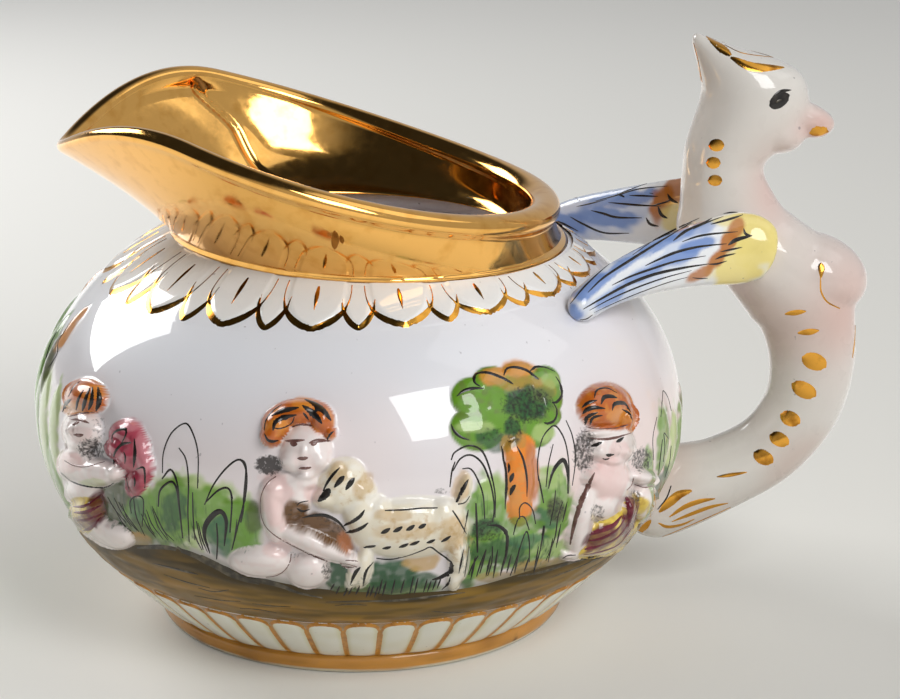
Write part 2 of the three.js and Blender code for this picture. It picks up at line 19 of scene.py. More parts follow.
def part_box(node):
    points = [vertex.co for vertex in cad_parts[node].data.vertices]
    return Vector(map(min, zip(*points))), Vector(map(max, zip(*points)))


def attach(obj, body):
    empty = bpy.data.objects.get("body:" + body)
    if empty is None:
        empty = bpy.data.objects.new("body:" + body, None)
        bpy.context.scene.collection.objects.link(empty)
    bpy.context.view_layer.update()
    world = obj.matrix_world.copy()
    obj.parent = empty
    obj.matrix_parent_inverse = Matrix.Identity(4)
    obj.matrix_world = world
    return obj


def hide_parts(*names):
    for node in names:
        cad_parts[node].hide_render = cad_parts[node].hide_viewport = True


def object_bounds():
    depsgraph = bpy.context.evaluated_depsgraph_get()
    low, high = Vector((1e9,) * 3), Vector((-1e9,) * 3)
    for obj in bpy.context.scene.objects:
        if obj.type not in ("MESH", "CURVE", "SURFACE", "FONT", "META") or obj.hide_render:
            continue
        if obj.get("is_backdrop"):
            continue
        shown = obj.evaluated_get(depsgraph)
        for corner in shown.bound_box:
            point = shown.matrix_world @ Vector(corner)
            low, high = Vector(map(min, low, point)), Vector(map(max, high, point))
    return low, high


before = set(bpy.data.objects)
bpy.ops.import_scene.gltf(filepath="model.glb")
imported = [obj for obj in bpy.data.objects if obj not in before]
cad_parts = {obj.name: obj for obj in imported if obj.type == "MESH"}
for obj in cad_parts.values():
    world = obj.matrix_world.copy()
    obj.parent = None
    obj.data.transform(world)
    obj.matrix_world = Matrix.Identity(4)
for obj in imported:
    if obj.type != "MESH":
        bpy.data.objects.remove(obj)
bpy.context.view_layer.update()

MM = 0.001
BODY = "root"
foot_low, foot_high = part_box("foot_ring")
bowl_low, bowl_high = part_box("bowl")
AXIS_X = (foot_low.x + foot_high.x) / 2
print("solids:", len(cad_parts), "bowl axis at x =", round(AXIS_X / MM, 2), "mm")

# %% [markdown]
# ## The bowl as a formula
#
# Every ornament sits on the bowl, so the bowl's outline is written once, as a formula that all the
# pieces share. It is two half-ellipses that meet at the belly. The sizes that the solids already
# hold are read from their boxes, and the rest are the potter's measures in millimetres.

# %% Shape of the bowl
FOOT_TOP = foot_high.z / MM
NECK = bowl_high.z / MM
BELLY_RADIUS = (bowl_high.y - bowl_low.y) / 2 / MM
FLOOR_RADIUS = 33.2
BASE_DROP = 42.5
SHOULDER_RISE = 37.5
WALL = 3.5
BELLY = FOOT_TOP + BASE_DROP * math.sqrt(1 - (FLOOR_RADIUS / BELLY_RADIUS) ** 2)


def in_frame(points):
    """Millimetres from the bowl's axis become metres in the shared frame."""
    return np.asarray(points, float) * MM + (AXIS_X, 0, 0)


def bowl_radius(height, offset=0.0):
    """Radius of the bowl, or of a skin a little outside it, at a height."""
    rise = np.where(height > BELLY, SHOULDER_RISE, BASE_DROP) + offset
    share = np.clip(1 - ((height - BELLY) / rise) ** 2, 0, 1)
    return (BELLY_RADIUS + offset) * np.sqrt(share)


def on_bowl(angle, height, lift=0.0):
    """Points on the bowl's outside, moved straight out of the surface by lift."""
    rise = np.where(height > BELLY, SHOULDER_RISE, BASE_DROP)
    radius = bowl_radius(height)
    outward = radius / BELLY_RADIUS**2
    upward = (height - BELLY) / rise**2
    length = np.hypot(outward, upward)
    reach = radius + lift * outward / length
    return np.stack([reach * np.cos(angle), reach * np.sin(angle), height + lift * upward / length], -1)


print("belly at", round(BELLY, 1), "mm, neck at", round(NECK, 1), "mm")

# %% [markdown]
# ## Camera
#
# The camera stands where the photographer stood: in front of the jug, a little above it, with a long
# lens. It is made first because the painter's marks further down are placed by where they are seen
# from here. A lens of 96 mm on a 36 mm sensor gives 2400 pixels of focal length in a 900 pixel frame.

# %% Camera
PHOTO_WIDTH = 900
PHOTO_HEIGHT = 699
FOCAL = 2400
SENSOR = 36
CAMERA_SPOT = np.array([1.7, -406.7, 164.1])
CAMERA_PITCH = math.radians(16.2)
CAMERA_TURN = math.radians(-2)

camera_data = bpy.data.cameras.new("photo_camera")
camera_data.sensor_fit = "HORIZONTAL"
camera_data.sensor_width = SENSOR
camera_data.lens = FOCAL / PHOTO_WIDTH * SENSOR
camera_data.clip_start = 0.01
camera = bpy.data.objects.new("photo_camera", camera_data)
camera.location = in_frame(CAMERA_SPOT)
camera.rotation_euler = (math.pi / 2 - CAMERA_PITCH, 0, CAMERA_TURN)
bpy.context.scene.collection.objects.link(camera)
bpy.context.scene.camera = camera

LOOK_RIGHT = np.array([math.cos(CAMERA_TURN), math.sin(CAMERA_TURN), 0])
LOOK_AHEAD = np.array([
    -math.sin(CAMERA_TURN) * math.cos(CAMERA_PITCH),
    math.cos(CAMERA_TURN) * math.cos(CAMERA_PITCH),
    -math.sin(CAMERA_PITCH),
])
LOOK_UP = np.cross(LOOK_RIGHT, LOOK_AHEAD)


def seen_at(points):
    """Where points, in millimetres from the bowl's axis, appear in the picture, in pixels."""
    away = np.asarray(points) - CAMERA_SPOT
    depth = away @ LOOK_AHEAD
    across = PHOTO_WIDTH / 2 + FOCAL * (away @ LOOK_RIGHT) / depth
    down = PHOTO_HEIGHT / 2 - FOCAL * (away @ LOOK_UP) / depth
    return np.stack([across, down], -1)


def sight_line(pixel):
    """Direction from the camera through a pixel."""
    across = (pixel[0] - PHOTO_WIDTH / 2) / FOCAL
    down = (pixel[1] - PHOTO_HEIGHT / 2) / FOCAL
    return Vector(LOOK_RIGHT * across - LOOK_UP * down + LOOK_AHEAD).normalized()


print("foot centre seen at", seen_at([0, 0, 0]).round(1))

# %% [markdown]
# ## Enlarged views
#
# The figures and the painter's marks are small, so they are placed on seven enlarged views of the
# photographed side, where they can be judged. Each view has its own left and top edge in the
# picture and its own enlargement. Lumps and washes are ovals on a view.

# %% Views and ovals
VIEWS = {"left": (30, 320, 5.226), "middle": (240, 380, 6.533), "right": (440, 350, 6.272),
         "head": (675, 20, 4.824), "tail": (610, 290, 5.807), "wing": (540, 165, 6.272),
         "collar": (100, 60, 4.5)}


def in_view(name, pixels):
    left, top, enlarged = VIEWS[name]
    return (pixels - (left, top)) * enlarged


def oval(spots, place, half, turn):
    """How far spots lie from an oval's middle: 1 is its edge. Turns go clockwise, in degrees."""
    tilt = math.radians(turn)
    away = spots - np.asarray(place)
    along = away[:, 0] * math.cos(tilt) + away[:, 1] * math.sin(tilt)
    across = away[:, 1] * math.cos(tilt) - away[:, 0] * math.sin(tilt)
    return np.hypot(along / half[0], across / half[1])


print("views:", list(VIEWS))

# %% [markdown]
# ## Random grain and colour
#
# A painter's wash is never even. This small noise function gives smooth random values that are the
# same on every run, because each comes from the place alone. Colours are written the way a paint
# chart prints them and turned into the linear values that the renderer mixes.

# %% Grain and colour helpers
HASH_STEPS = np.array([73856093, 19349663, 83492791])
HASH_SCALE, HASH_SHIFT, HASH_RANGE = 40503, 977, 2**20
SEED_SHIFT = 17.3


def grain(points, size, seed=0):
    """Smooth values from 0 to 1 that change over about size millimetres."""
    spots = np.asarray(points, float) / size + SEED_SHIFT * seed
    cell = np.floor(spots).astype(np.int64)
    part = spots - cell
    part = part * part * (3 - 2 * part)
    total = np.zeros(len(spots))
    for corner in range(8):
        step = np.array([corner & 1, corner >> 1 & 1, corner >> 2 & 1])
        weight = np.prod(np.where(step, part, 1 - part), axis=-1)
        mixed = np.bitwise_xor.reduce((cell + step) * HASH_STEPS, axis=-1)
        total += weight * ((mixed * HASH_SCALE + HASH_SHIFT) % HASH_RANGE) / HASH_RANGE
    return total


def colour(code):
    """Linear red, green and blue of a printed colour such as 'c8922e'."""
    printed = np.array([int(code[i:i + 2], 16) / 255 for i in (0, 2, 4)])
    return np.where(printed > 0.04045, ((printed + 0.055) / 1.055) ** 2.4, printed / 12.92)


def smooth_step(value, low, high):
    share = np.clip((value - low) / (high - low), 0, 1)
    return share * share * (3 - 2 * share)


def blend(below, above, share):
    """Lays one colour over another, by a share for each point."""
    return below + (np.asarray(above) - below) * np.asarray(share)[..., None]


print("one grain value:", round(float(grain([[1.0, 2.0, 3.0]], 5)[0]), 4))

# %% [markdown]
# ## Finishes
#
# Every finish is a small net of shader nodes, and the same few nodes come back each time: a colour layer
# from the mesh, noise, a change of range and a mix. Each gets a helper, so that a recipe reads like one.

# %% Nodes for every finish
def start_material(name):
    material = bpy.data.materials.new(name)
    material.use_nodes = True
    tree = material.node_tree
    return material, tree, tree.nodes["Principled BSDF"]


def set_inputs(node, values):
    for socket, value in values.items():
        node.inputs[socket].default_value = value


def coat_node(tree, name):
    layer = tree.nodes.new("ShaderNodeVertexColor")
    layer.layer_name = name
    return layer.outputs["Color"]


def noise_of(tree, per_metre, detail=2.0, tall=1.0):
    """Noise on the object's own coordinates: so many lumps to the metre, each so many times taller."""
    spot = tree.nodes.new("ShaderNodeTexCoord")
    stretch = tree.nodes.new("ShaderNodeMapping")
    stretch.inputs["Scale"].default_value = (1, 1, 1 / tall)
    node = tree.nodes.new("ShaderNodeTexNoise")
    set_inputs(node, {"Scale": per_metre, "Detail": detail})
    tree.links.new(spot.outputs["Object"], stretch.inputs["Vector"])
    tree.links.new(stretch.outputs["Vector"], node.inputs["Vector"])
    return node.outputs["Fac"]


def spread(tree, source, low, high, to_low, to_high, way="LINEAR"):
    """Spreads the values between low and high over those between to_low and to_high."""
    node = tree.nodes.new("ShaderNodeMapRange")
    node.interpolation_type = way
    set_inputs(node, {"From Min": low, "From Max": high, "To Min": to_low, "To Max": to_high})
    tree.links.new(source, node.inputs["Value"])
    return node.outputs["Result"]


MIX_SHARE, MIX_BELOW, MIX_ABOVE, MIX_RESULT = 0, 6, 7, 2


def mix_colours(tree, share, below, above):
    node = tree.nodes.new("ShaderNodeMix")
    node.data_type = "RGBA"
    for socket, value in ((node.inputs[MIX_BELOW], below), (node.inputs[MIX_ABOVE], above)):
        if isinstance(value, bpy.types.NodeSocket):
            tree.links.new(value, socket)
        else:
            socket.default_value = (*value, 1)
    tree.links.new(share, node.inputs[MIX_SHARE])
    return node.outputs[MIX_RESULT]


def combine(tree, operation, one, two):
    node = tree.nodes.new("ShaderNodeMath")
    node.operation = operation
    tree.links.new(one, node.inputs[0])
    tree.links.new(two, node.inputs[1])
    return node.outputs[0]


print("colours mix from sockets", MIX_BELOW, "and", MIX_ABOVE)

# %% [markdown]
# ## Glaze
#
# The whole jug wears a clear glaze over its paint, so one recipe serves the white body and all the
# enamels: paint kept on the mesh as a colour layer, a hard clear coat above it, a few iron specks that
# every kiln leaves, and a surface that is not quite flat, so that reflections waver.

# %% Glaze recipe
def waver(tree, shader, layers):
    """Bumps of the given (lumps per metre, height in millimetres), one on top of another."""
    normal = None
    for per_metre, height in layers:
        bump = tree.nodes.new("ShaderNodeBump")
        bump.inputs["Distance"].default_value = height * MM
        tree.links.new(noise_of(tree, per_metre), bump.inputs["Height"])
        if normal is not None:
            tree.links.new(normal, bump.inputs["Normal"])
        normal = bump.outputs["Normal"]
    tree.links.new(normal, shader.inputs["Normal"])
    tree.links.new(normal, shader.inputs["Coat Normal"])


def dab(tree, amount, noise, paint, above, softness):
    """Lays a colour over the paint in dots, which join up as the amount grows."""
    total = combine(tree, "ADD", amount, noise)
    return mix_colours(tree, spread(tree, total, 1, 1 + softness, 0, 0.9), paint, above)


def fine_marks(tree, paint):
    """Sponge dots, streaks of a dry brush and mottles, where the mesh's layer of marks asks for them."""
    marks = tree.nodes.new("ShaderNodeSeparateColor")
    tree.links.new(coat_node(tree, "marks"), marks.inputs["Color"])
    paint = dab(tree, marks.outputs["Blue"], noise_of(tree, 900, 4), paint, colour("c29a58"), 0.3)
    paint = dab(tree, marks.outputs["Green"], noise_of(tree, 1300, 3, 6), paint, colour("1f4a1f"), 0.25)
    return dab(tree, marks.outputs["Red"], noise_of(tree, 1900, 4), paint, colour("1e1711"), 0.28)


def painted_glaze(name, body_roughness, speck, marked=False, coat=1.0):
    """Clear glaze over the mesh's own paint layer: a thin coat shines less."""
    material, tree, shader = start_material(name)
    paint = coat_node(tree, "paint")
    if marked:
        paint = fine_marks(tree, paint)
    specks = spread(tree, noise_of(tree, 1100, 0), 0.84, 0.88, 0, speck)
    tree.links.new(mix_colours(tree, specks, paint, colour("6a6068")), shader.inputs["Base Color"])
    rough = spread(tree, noise_of(tree, 250), 0.35, 0.65, body_roughness - 0.06, body_roughness + 0.06)
    tree.links.new(rough, shader.inputs["Roughness"])
    set_inputs(shader, {"Specular IOR Level": 0.15, "Coat Weight": coat, "Coat Roughness": 0.02})
    waver(tree, shader, [(90, 0.02), (700, 0.0012)])
    return material


WHITE_GLAZE = painted_glaze("white_glaze", 0.3, 0.5)
ENAMEL = painted_glaze("painted_enamel", 0.34, 0.35)
DABBED_ENAMEL = painted_glaze("dabbed_enamel", 0.34, 0.35, marked=True)
EARTH_GLAZE = painted_glaze("earth_glaze", 0.45, 0.2, coat=0.35)
print("glazes:", WHITE_GLAZE.name, ENAMEL.name, DABBED_ENAMEL.name, EARTH_GLAZE.name)

# %% [markdown]
# ## Gold
#
# The collar is fired gold lustre, a film so thin that it is as smooth as the glaze under it, and it
# mirrors the room. Brushed gold lines are the same metal put on by hand, so they are duller and vary
# in thickness. Only the roughness, the colour and the waviness differ.

# %% Gold and line enamel
def gold(name, bright, worn, roughness, layers):
    material, tree, shader = start_material(name)
    wear = spread(tree, noise_of(tree, 320, 4), 0.52, 0.72, 0, 1)
    tree.links.new(mix_colours(tree, wear, bright, worn), shader.inputs["Base Color"])
    tree.links.new(spread(tree, noise_of(tree, 600, 3), 0.3, 0.7, *roughness), shader.inputs["Roughness"])
    set_inputs(shader, {"Metallic": 1})
    waver(tree, shader, layers)
    return material


GOLD_LUSTRE = gold("gold_lustre", colour("edb563"), colour("e0a552"), (0.06, 0.16),
                   [(45, 0.06), (160, 0.02), (700, 0.003)])
BRUSHED_GOLD = gold("brushed_gold", colour("d59a3e"), colour("96601e"), (0.08, 0.22), [(900, 0.006)])
# A dull brown gold for a few small marks on the collar.
DULL_BROWN_GOLD = gold("dull_brown_gold", colour("a06a2c"), colour("7c4c1c"), (0.2, 0.35), [(900, 0.006)])


def line_enamel(name, thick, thin):
    """Dark enamel drawn with a fine brush: paler where the line is thin."""
    material, tree, shader = start_material(name)
    tree.links.new(mix_colours(tree, spread(tree, noise_of(tree, 700, 3), 0.45, 0.75, 0, 1), thick, thin),
                   shader.inputs["Base Color"])
    set_inputs(shader, {"Roughness": 0.3, "Specular IOR Level": 0.15, "Coat Weight": 0.5,
                        "Coat Roughness": 0.05})
    waver(tree, shader, [(900, 0.004)])
    return material


BLACK_LINE = line_enamel("black_line", colour("1f1c1a"), colour("38332f"))
BROWN_LINE = line_enamel("brown_line", colour("6b4a44"), colour("93716a"))
MAROON_LINE = line_enamel("maroon_line", colour("5e1426"), colour("7d2a3a"))
GREY_LINE = line_enamel("grey_line", colour("3d372b"), colour("6c6350"))
OCHRE_LINE = line_enamel("ochre_line", colour("d09038"), colour("a86e26"))
print("gold and line enamels ready")

# %% [markdown]
# ## Helpers for making pieces
#
# Most pieces here are a grid of quads laid along a formula, as a potter presses a sheet of clay over a
# form. `lay_sheet` makes the grid and moves its points, and closes it where its edges meet.
# `finish_piece` turns the work into an object that rides with the jug and stands for its solids.

# %% Sheet and piece helpers
MERGE = 0.002 * MM


def smooth_rows(table, steps):
    """A smooth curve through the rows of a table."""
    rows = np.asarray(table, float)
    ends = np.vstack([2 * rows[0] - rows[1], rows, 2 * rows[-1] - rows[-2]])
    at = np.linspace(0, len(rows) - 1, steps)
    first = np.minimum(at.astype(int), len(rows) - 2)
    part = (at - first)[:, None]
    a, b, c, d = (ends[first + step] for step in range(4))
    bend = (2 * a - 5 * b + 4 * c - d) * part**2 + (3 * b - a - 3 * c + d) * part**3
    return 0.5 * (2 * b + (c - a) * part + bend)


def unit(vectors):
    return vectors / np.maximum(np.linalg.norm(vectors, axis=-1, keepdims=True), 1e-9)


def lay_sheet(bm, columns, rows, shape):
    """Adds a grid whose points follow shape(u, v), in millimetres; u and v run from 0 to 1."""
    made = bmesh.ops.create_grid(bm, x_segments=columns, y_segments=rows, size=0.5)["verts"]
    flat = np.array([vert.co[:2] for vert in made]) + 0.5
    for vert, spot in zip(made, in_frame(shape(flat[:, 0], flat[:, 1]))):
        vert.co = spot
    bmesh.ops.remove_doubles(bm, verts=made, dist=MERGE)
    return flat


def close_up(bm):
    """Makes the faces of a closed shape point outwards."""
    bmesh.ops.recalc_face_normals(bm, faces=bm.faces)


def places_of(mesh):
    """The mesh's points in millimetres from the bowl's axis."""
    flat = np.empty(len(mesh.vertices) * 3)
    mesh.vertices.foreach_get("co", flat)
    return (flat.reshape(-1, 3) - (AXIS_X, 0, 0)) / MM


def add_coat(mesh, name, colours):
    """Keeps one colour for each point of a mesh."""
    coats = np.ones((len(mesh.vertices), 4))
    coats[:, :3] = np.clip(colours, 0, 1)
    mesh.color_attributes.new(name, "FLOAT_COLOR", "POINT").data.foreach_set("color", coats.ravel())


def finish_piece(name, bm, material, nodes=(), painter=None):
    mesh = bpy.data.meshes.new(name)
    bm.to_mesh(mesh)
    bm.free()
    mesh.shade_smooth()
    mesh.materials.append(material)
    if painter is not None:
        add_coat(mesh, "paint", painter(places_of(mesh)))
    made = bpy.data.objects.new(name, mesh)
    bpy.context.scene.collection.objects.link(made)
    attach(made, BODY)
    if nodes:
        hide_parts(*nodes)
    print(name, "has", len(mesh.polygons), "faces")
    return made


print("points nearer than", MERGE / MM, "mm are merged")

# %% [markdown]
# ## Floor and light
#
# The jug stands on a pale table in a dim room. One softbox is in front on the right and one is behind
# on the left, which is where the photograph's highlights put them, and a large pale panel leans in from
# the right. The room is pale low down and on the right, and dark above and on the left, and the gold
# needs that contrast to look like metal.

# %% Table
TABLE_HALF, TABLE_SINK, TABLE_CELLS = 1600, 0.05, 200
TABLE_NEAR, TABLE_SHADED_FAR, TABLE_LIT_LEFT = colour("dddbd4"), colour("d6d4cd"), colour("e6e5e1")
GLOW_NEAR, GLOW_FAR, GLOW_LEFT = 0.06, 0.19, 0.02
MIRROR_GLOW = 0.4
SHADED_REACH, OPEN_REACH = 60, 130


def all_over(tint, points):
    """The same colour at every point."""
    return np.broadcast_to(tint, (len(points), 3))


# The table's colour is painted paler to the left and a little darker far away: painted light and painted
# shade.
def table_tint_and_light(points):
    left = smooth_step(points[:, 0], 260, -260)
    far = smooth_step(points[:, 1], -150, 500)
    cloth = blend(all_over(TABLE_NEAR, points), TABLE_SHADED_FAR, far)
    return blend(cloth, TABLE_LIT_LEFT, 0.75 * left)


def grey(values):
    """The same value in red, green and blue."""
    return np.repeat(values[:, None], 3, axis=1)


def table_glow(points):
    """Light that only the lens sees, so that the far end of the table stays pale."""
    far = smooth_step(points[:, 1], -200, 700)
    left = smooth_step(points[:, 0], 100, -200)
    return grey(GLOW_NEAR + (GLOW_FAR - GLOW_NEAR) * far - GLOW_LEFT * left)


def mirror_glow(points):
    """The same for the reflections alone: none in the shade right under the jug."""
    reach = np.hypot(points[:, 0], points[:, 1])
    return grey(MIRROR_GLOW * smooth_step(reach, SHADED_REACH, OPEN_REACH))


def table_shape(u, v):
    return np.stack([(2 * u - 1) * TABLE_HALF, (2 * v - 1) * TABLE_HALF, 0 * u - TABLE_SINK], -1)


def table_material():
    material, tree, shader = start_material("pale_table")
    tree.links.new(coat_node(tree, "paint"), shader.inputs["Base Color"])
    rays = tree.nodes.new("ShaderNodeLightPath")
    glow = mix_colours(tree, rays.outputs["Is Glossy Ray"], coat_node(tree, "glow"),
                       coat_node(tree, "mirrored"))
    tree.links.new(glow, shader.inputs["Emission Color"])
    direct = combine(tree, "MAXIMUM", rays.outputs["Is Camera Ray"], rays.outputs["Is Glossy Ray"])
    either = combine(tree, "MAXIMUM", direct, rays.outputs["Is Transmission Ray"])
    tree.links.new(either, shader.inputs["Emission Strength"])
    set_inputs(shader, {"Roughness": 0.6, "Specular IOR Level": 0.1})
    return material


table_bm = bmesh.new()
lay_sheet(table_bm, TABLE_CELLS, TABLE_CELLS, table_shape)
table = bpy.data.meshes.new("table")
table_bm.to_mesh(table)
table_bm.free()
for layer, painter in (("paint", table_tint_and_light), ("glow", table_glow), ("mirrored", mirror_glow)):
    add_coat(table, layer, painter(places_of(table)))
table.materials.append(table_material())
table_top = bpy.data.objects.new("table", table)
bpy.context.scene.collection.objects.link(table_top)
table_top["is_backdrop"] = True
print("table is", 2 * TABLE_HALF, "mm wide")

# %% Room and softboxes
AIM = np.array([0, 0, 45])


def softbox(name, azimuth, elevation, distance, wide, high, power):
    """A lamp on a stand: azimuth 0 is the camera's side, and positive is to the right of it."""
    turn, tilt = math.radians(azimuth), math.radians(elevation)
    toward = np.array([math.sin(turn) * math.cos(tilt), -math.cos(turn) * math.cos(tilt), math.sin(tilt)])
    data = bpy.data.lights.new(name, "AREA")
    data.shape = "RECTANGLE"
    data.size = wide * MM
    data.size_y = high * MM
    data.energy = power
    lamp = bpy.data.objects.new(name, data)
    lamp.location = in_frame(AIM + toward * distance)
    lamp.rotation_euler = Vector(toward).to_track_quat("Z", "Y").to_euler()
    bpy.context.scene.collection.objects.link(lamp)


softbox("front_softbox", 30, 36, 800, 330, 400, 3.2)
softbox("rear_softbox", -128, 30, 800, 420, 420, 4.5)
softbox("right_panel", 85, 54, 800, 480, 480, 0.6)

DARK_SIDE = (-0.608, 0.0, 0.794)
DUSK_START, DUSK_END = 0.3, 0.6
WALL_LIGHT, CEILING_LIGHT = 0.52, 0.03
ROOM_COLOUR = (0.98, 0.99, 1, 1)
world = bpy.data.worlds.new("dim_room")
world.use_nodes = True
room = world.node_tree
room_spot = room.nodes.new("ShaderNodeTexCoord")
room_lean = room.nodes.new("ShaderNodeVectorMath")
room_lean.operation = "DOT_PRODUCT"
room_lean.inputs[1].default_value = DARK_SIDE
room.links.new(room_spot.outputs["Generated"], room_lean.inputs[0])
room_light = spread(room, room_lean.outputs["Value"], DUSK_START, DUSK_END, WALL_LIGHT, CEILING_LIGHT,
                    "SMOOTHSTEP")
room.links.new(room_light, room.nodes["Background"].inputs["Strength"])
room.nodes["Background"].inputs["Color"].default_value = ROOM_COLOUR
bpy.context.scene.world = world
bpy.context.scene.view_settings.view_transform = "Standard"
print("three lamps and a room")

# %% [markdown]
# ## Bowl
#
# The body is thrown round and hollow, so its wall is one profile spun about the axis: out along the
# underside, up the outside, over the neck and down the inside. The painter laid a cool white on the
# shoulder and a faint rose wash lower down and towards the handle, and the same wash must run on under
# the frieze, so it is a function of place that both pieces use.

# %% Bowl wall
SPIN_STEPS = 256
COOL_WHITE, WARM_WHITE, ROSE_WHITE = colour("e9ecf2"), colour("ece2e2"), colour("efdcd8")


def body_tint(points):
    height = points[:, 2]
    low = smooth_step(height, NECK - 6, BELLY + 2)
    rose = smooth_step(points[:, 0], -25, 50) * smooth_step(height, NECK + 8, BELLY)
    cloud = smooth_step(grain(points, 17), 0.25, 0.75)
    tint = blend(all_over(COOL_WHITE, points), WARM_WHITE, low * (0.55 + 0.45 * cloud))
    return blend(tint, ROSE_WHITE, np.clip(rose * (0.45 + 0.75 * cloud), 0, 1))


def put_in_order(bm):
    """Numbers points and faces by place, because the merge of a full spin shuffles them on each run."""
    rank = {vert: number for number, vert in enumerate(sorted(bm.verts, key=lambda vert: vert.co[:]))}
    bm.verts.sort(key=rank.get)
    faces = sorted(bm.faces, key=lambda face: sorted(rank[vert] for vert in face.verts))
    bm.faces.sort(key={face: number for number, face in enumerate(faces)}.get)


def spin_profile(bm, profile):
    """Turns a profile of (radius, height) pairs once about the bowl's axis."""
    spots = [bm.verts.new(in_frame([radius, 0, height])) for radius, height in profile]
    edges = [bm.edges.new(pair) for pair in zip(spots, spots[1:])]
    bmesh.ops.spin(bm, geom=spots + edges, cent=(AXIS_X, 0, 0), axis=(0, 0, 1), angle=math.tau,
                   steps=SPIN_STEPS, use_merge=True)
    bmesh.ops.remove_doubles(bm, verts=bm.verts, dist=MERGE)
    close_up(bm)
    put_in_order(bm)


NECK_SLOPE = 1.2
NECK_OVERLAP, NECK_LEDGE, MOUTH_DROP = 0.2, 2.5, 1.5
SPOUT_NECK = NECK + NECK_SLOPE + NECK_OVERLAP
UNDERSIDE_RADIUS, WELL_RADIUS = 16, 12
OUTER_STEPS, INNER_STEPS = 76, 40


def neck_height(angle):
    """The neck ring is cut at a slope: it is highest below the spout."""
    return NECK - NECK_SLOPE * np.cos(angle)


outer_heights = np.linspace(FOOT_TOP, SPOUT_NECK, OUTER_STEPS)
inner_heights = np.linspace(NECK - MOUTH_DROP, FOOT_TOP + WALL, INNER_STEPS)
bowl_profile = [(0, FOOT_TOP), (UNDERSIDE_RADIUS, FOOT_TOP)]
bowl_profile += list(zip(bowl_radius(outer_heights), outer_heights))
bowl_profile += [(bowl_radius(SPOUT_NECK) - NECK_LEDGE, SPOUT_NECK)]
bowl_profile += list(zip(bowl_radius(inner_heights, -WALL), inner_heights))
bowl_profile += [(WELL_RADIUS, FOOT_TOP + WALL), (0, FOOT_TOP + WALL)]
bowl_bm = bmesh.new()
spin_profile(bowl_bm, bowl_profile)
finish_piece("bowl_skin", bowl_bm, WHITE_GLAZE, ["bowl"], body_tint)

# %% [markdown]
# ## Foot
#
# The ring that the jug stands on is turned like the bowl. Its side carries a band of ochre, broken by a
# few fine cracks, and the very edge is wiped clean so that the jug doesn't stick to the kiln shelf.

# %% Foot ring
FOOT_RADIUS = (foot_high.x - foot_low.x) / 2 / MM
FOOT_INNER = 26
OCHRE, DARK_OCHRE, BARE_CLAY = colour("d6963f"), colour("99661f"), colour("e0d6bc")
foot_profile = [(FOOT_INNER, FOOT_TOP), (FOOT_INNER, 0.5), (FOOT_INNER + 0.5, 0), (FOOT_RADIUS - 1.2, 0),
                (FOOT_RADIUS - 0.6, 0.2), (FOOT_RADIUS - 0.35, 0.6), (FOOT_RADIUS - 0.1, 1.0),
                (FOOT_RADIUS, 1.7), (FOOT_RADIUS - 0.1, 2.5), (FOOT_RADIUS - 0.3, FOOT_TOP),
                (FOOT_INNER, FOOT_TOP)]


def foot_paint(points):
    radius = np.hypot(points[:, 0], points[:, 1])
    uneven = 0.5 * grain(points, 6) - 0.25
    banded = smooth_step(points[:, 2] + uneven, 0.55, 0.8) * (radius > FOOT_INNER + 4)
    streak = grain(points * (1, 1, 3), 4, 2)
    crack = smooth_step(np.abs(grain(points, 9, 5) - 0.5), 0.012, 0.004) * (grain(points, 14, 6) > 0.6)
    coat = blend(all_over(OCHRE, points), DARK_OCHRE, 0.8 * streak**2)
    coat = blend(coat, DARK_OCHRE * 0.4, crack)
    return blend(all_over(BARE_CLAY, points), coat, banded)


foot_bm = bmesh.new()
spin_profile(foot_bm, foot_profile)
finish_piece("foot_band", foot_bm, ENAMEL, ["foot_ring"], foot_paint)

# %% [markdown]
# ## Tongues
#
# Forty-six rounded tongues stand round the base like the petals of a daisy. They are pressed in a
# mould, so here one ring-shaped sheet is swollen once for each tongue and pinched between them. The
# ochre line round each tongue follows in the chapter on brushwork.

# %% Tongue band
TONGUE_COUNT = 46
TONGUE_COLUMNS, TONGUE_ROWS = 26 * TONGUE_COUNT, 60
TONGUE_RISE, TONGUE_TUCK = 2.3, 0.4
TONGUE_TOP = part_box("tongue_band")[1].z / MM + TONGUE_RISE
TONGUE_HEIGHT = TONGUE_TOP - TONGUE_TUCK - FOOT_TOP
TONGUE_FOOT_RADIUS = 35.7
TONGUE_LIP_RADIUS = float(bowl_radius(TONGUE_TOP - TONGUE_TUCK)) + 0.05
TONGUE_ROUND = 0.78
TONGUE_HALF, LEAST_HALF = 0.93, 0.02
TONGUE_SWELL, SWELL_OUT, SWELL_DOWN, SWELL_SINK = 0.6, 0.64, 0.4, 0.2
FACE_SHARE, BACK_SHARE, BACK_DEPTH = 0.8, 0.9, 0.6
CREAM, CREAM_SHADE = colour("f3f3e6"), colour("d8d19a")


def tongue_share(angle, rise):
    """How far across a tongue a spot lies: 0 is its middle and 1 its edge, which rounds off at the top."""
    across = 2 * np.mod(angle * TONGUE_COUNT / math.tau, 1) - 1
    ending = np.clip((rise - TONGUE_ROUND) / (1 - TONGUE_ROUND), 0, 1)
    return np.abs(across) / np.maximum(TONGUE_HALF * (1 - ending**2.6) ** 0.5, LEAST_HALF)


def tongue_surface(angle, rise):
    inside = np.clip(1 - tongue_share(angle, rise) ** 3, 0, 1)
    swell = TONGUE_SWELL * inside**0.8 * smooth_step(rise, -0.05, 0.12)
    radius = TONGUE_FOOT_RADIUS + (TONGUE_LIP_RADIUS - TONGUE_FOOT_RADIUS) * rise**0.88
    reach = radius + SWELL_OUT * swell
    height = FOOT_TOP + TONGUE_HEIGHT * rise - SWELL_DOWN * swell
    return np.stack([reach * np.cos(angle), reach * np.sin(angle), height], -1)


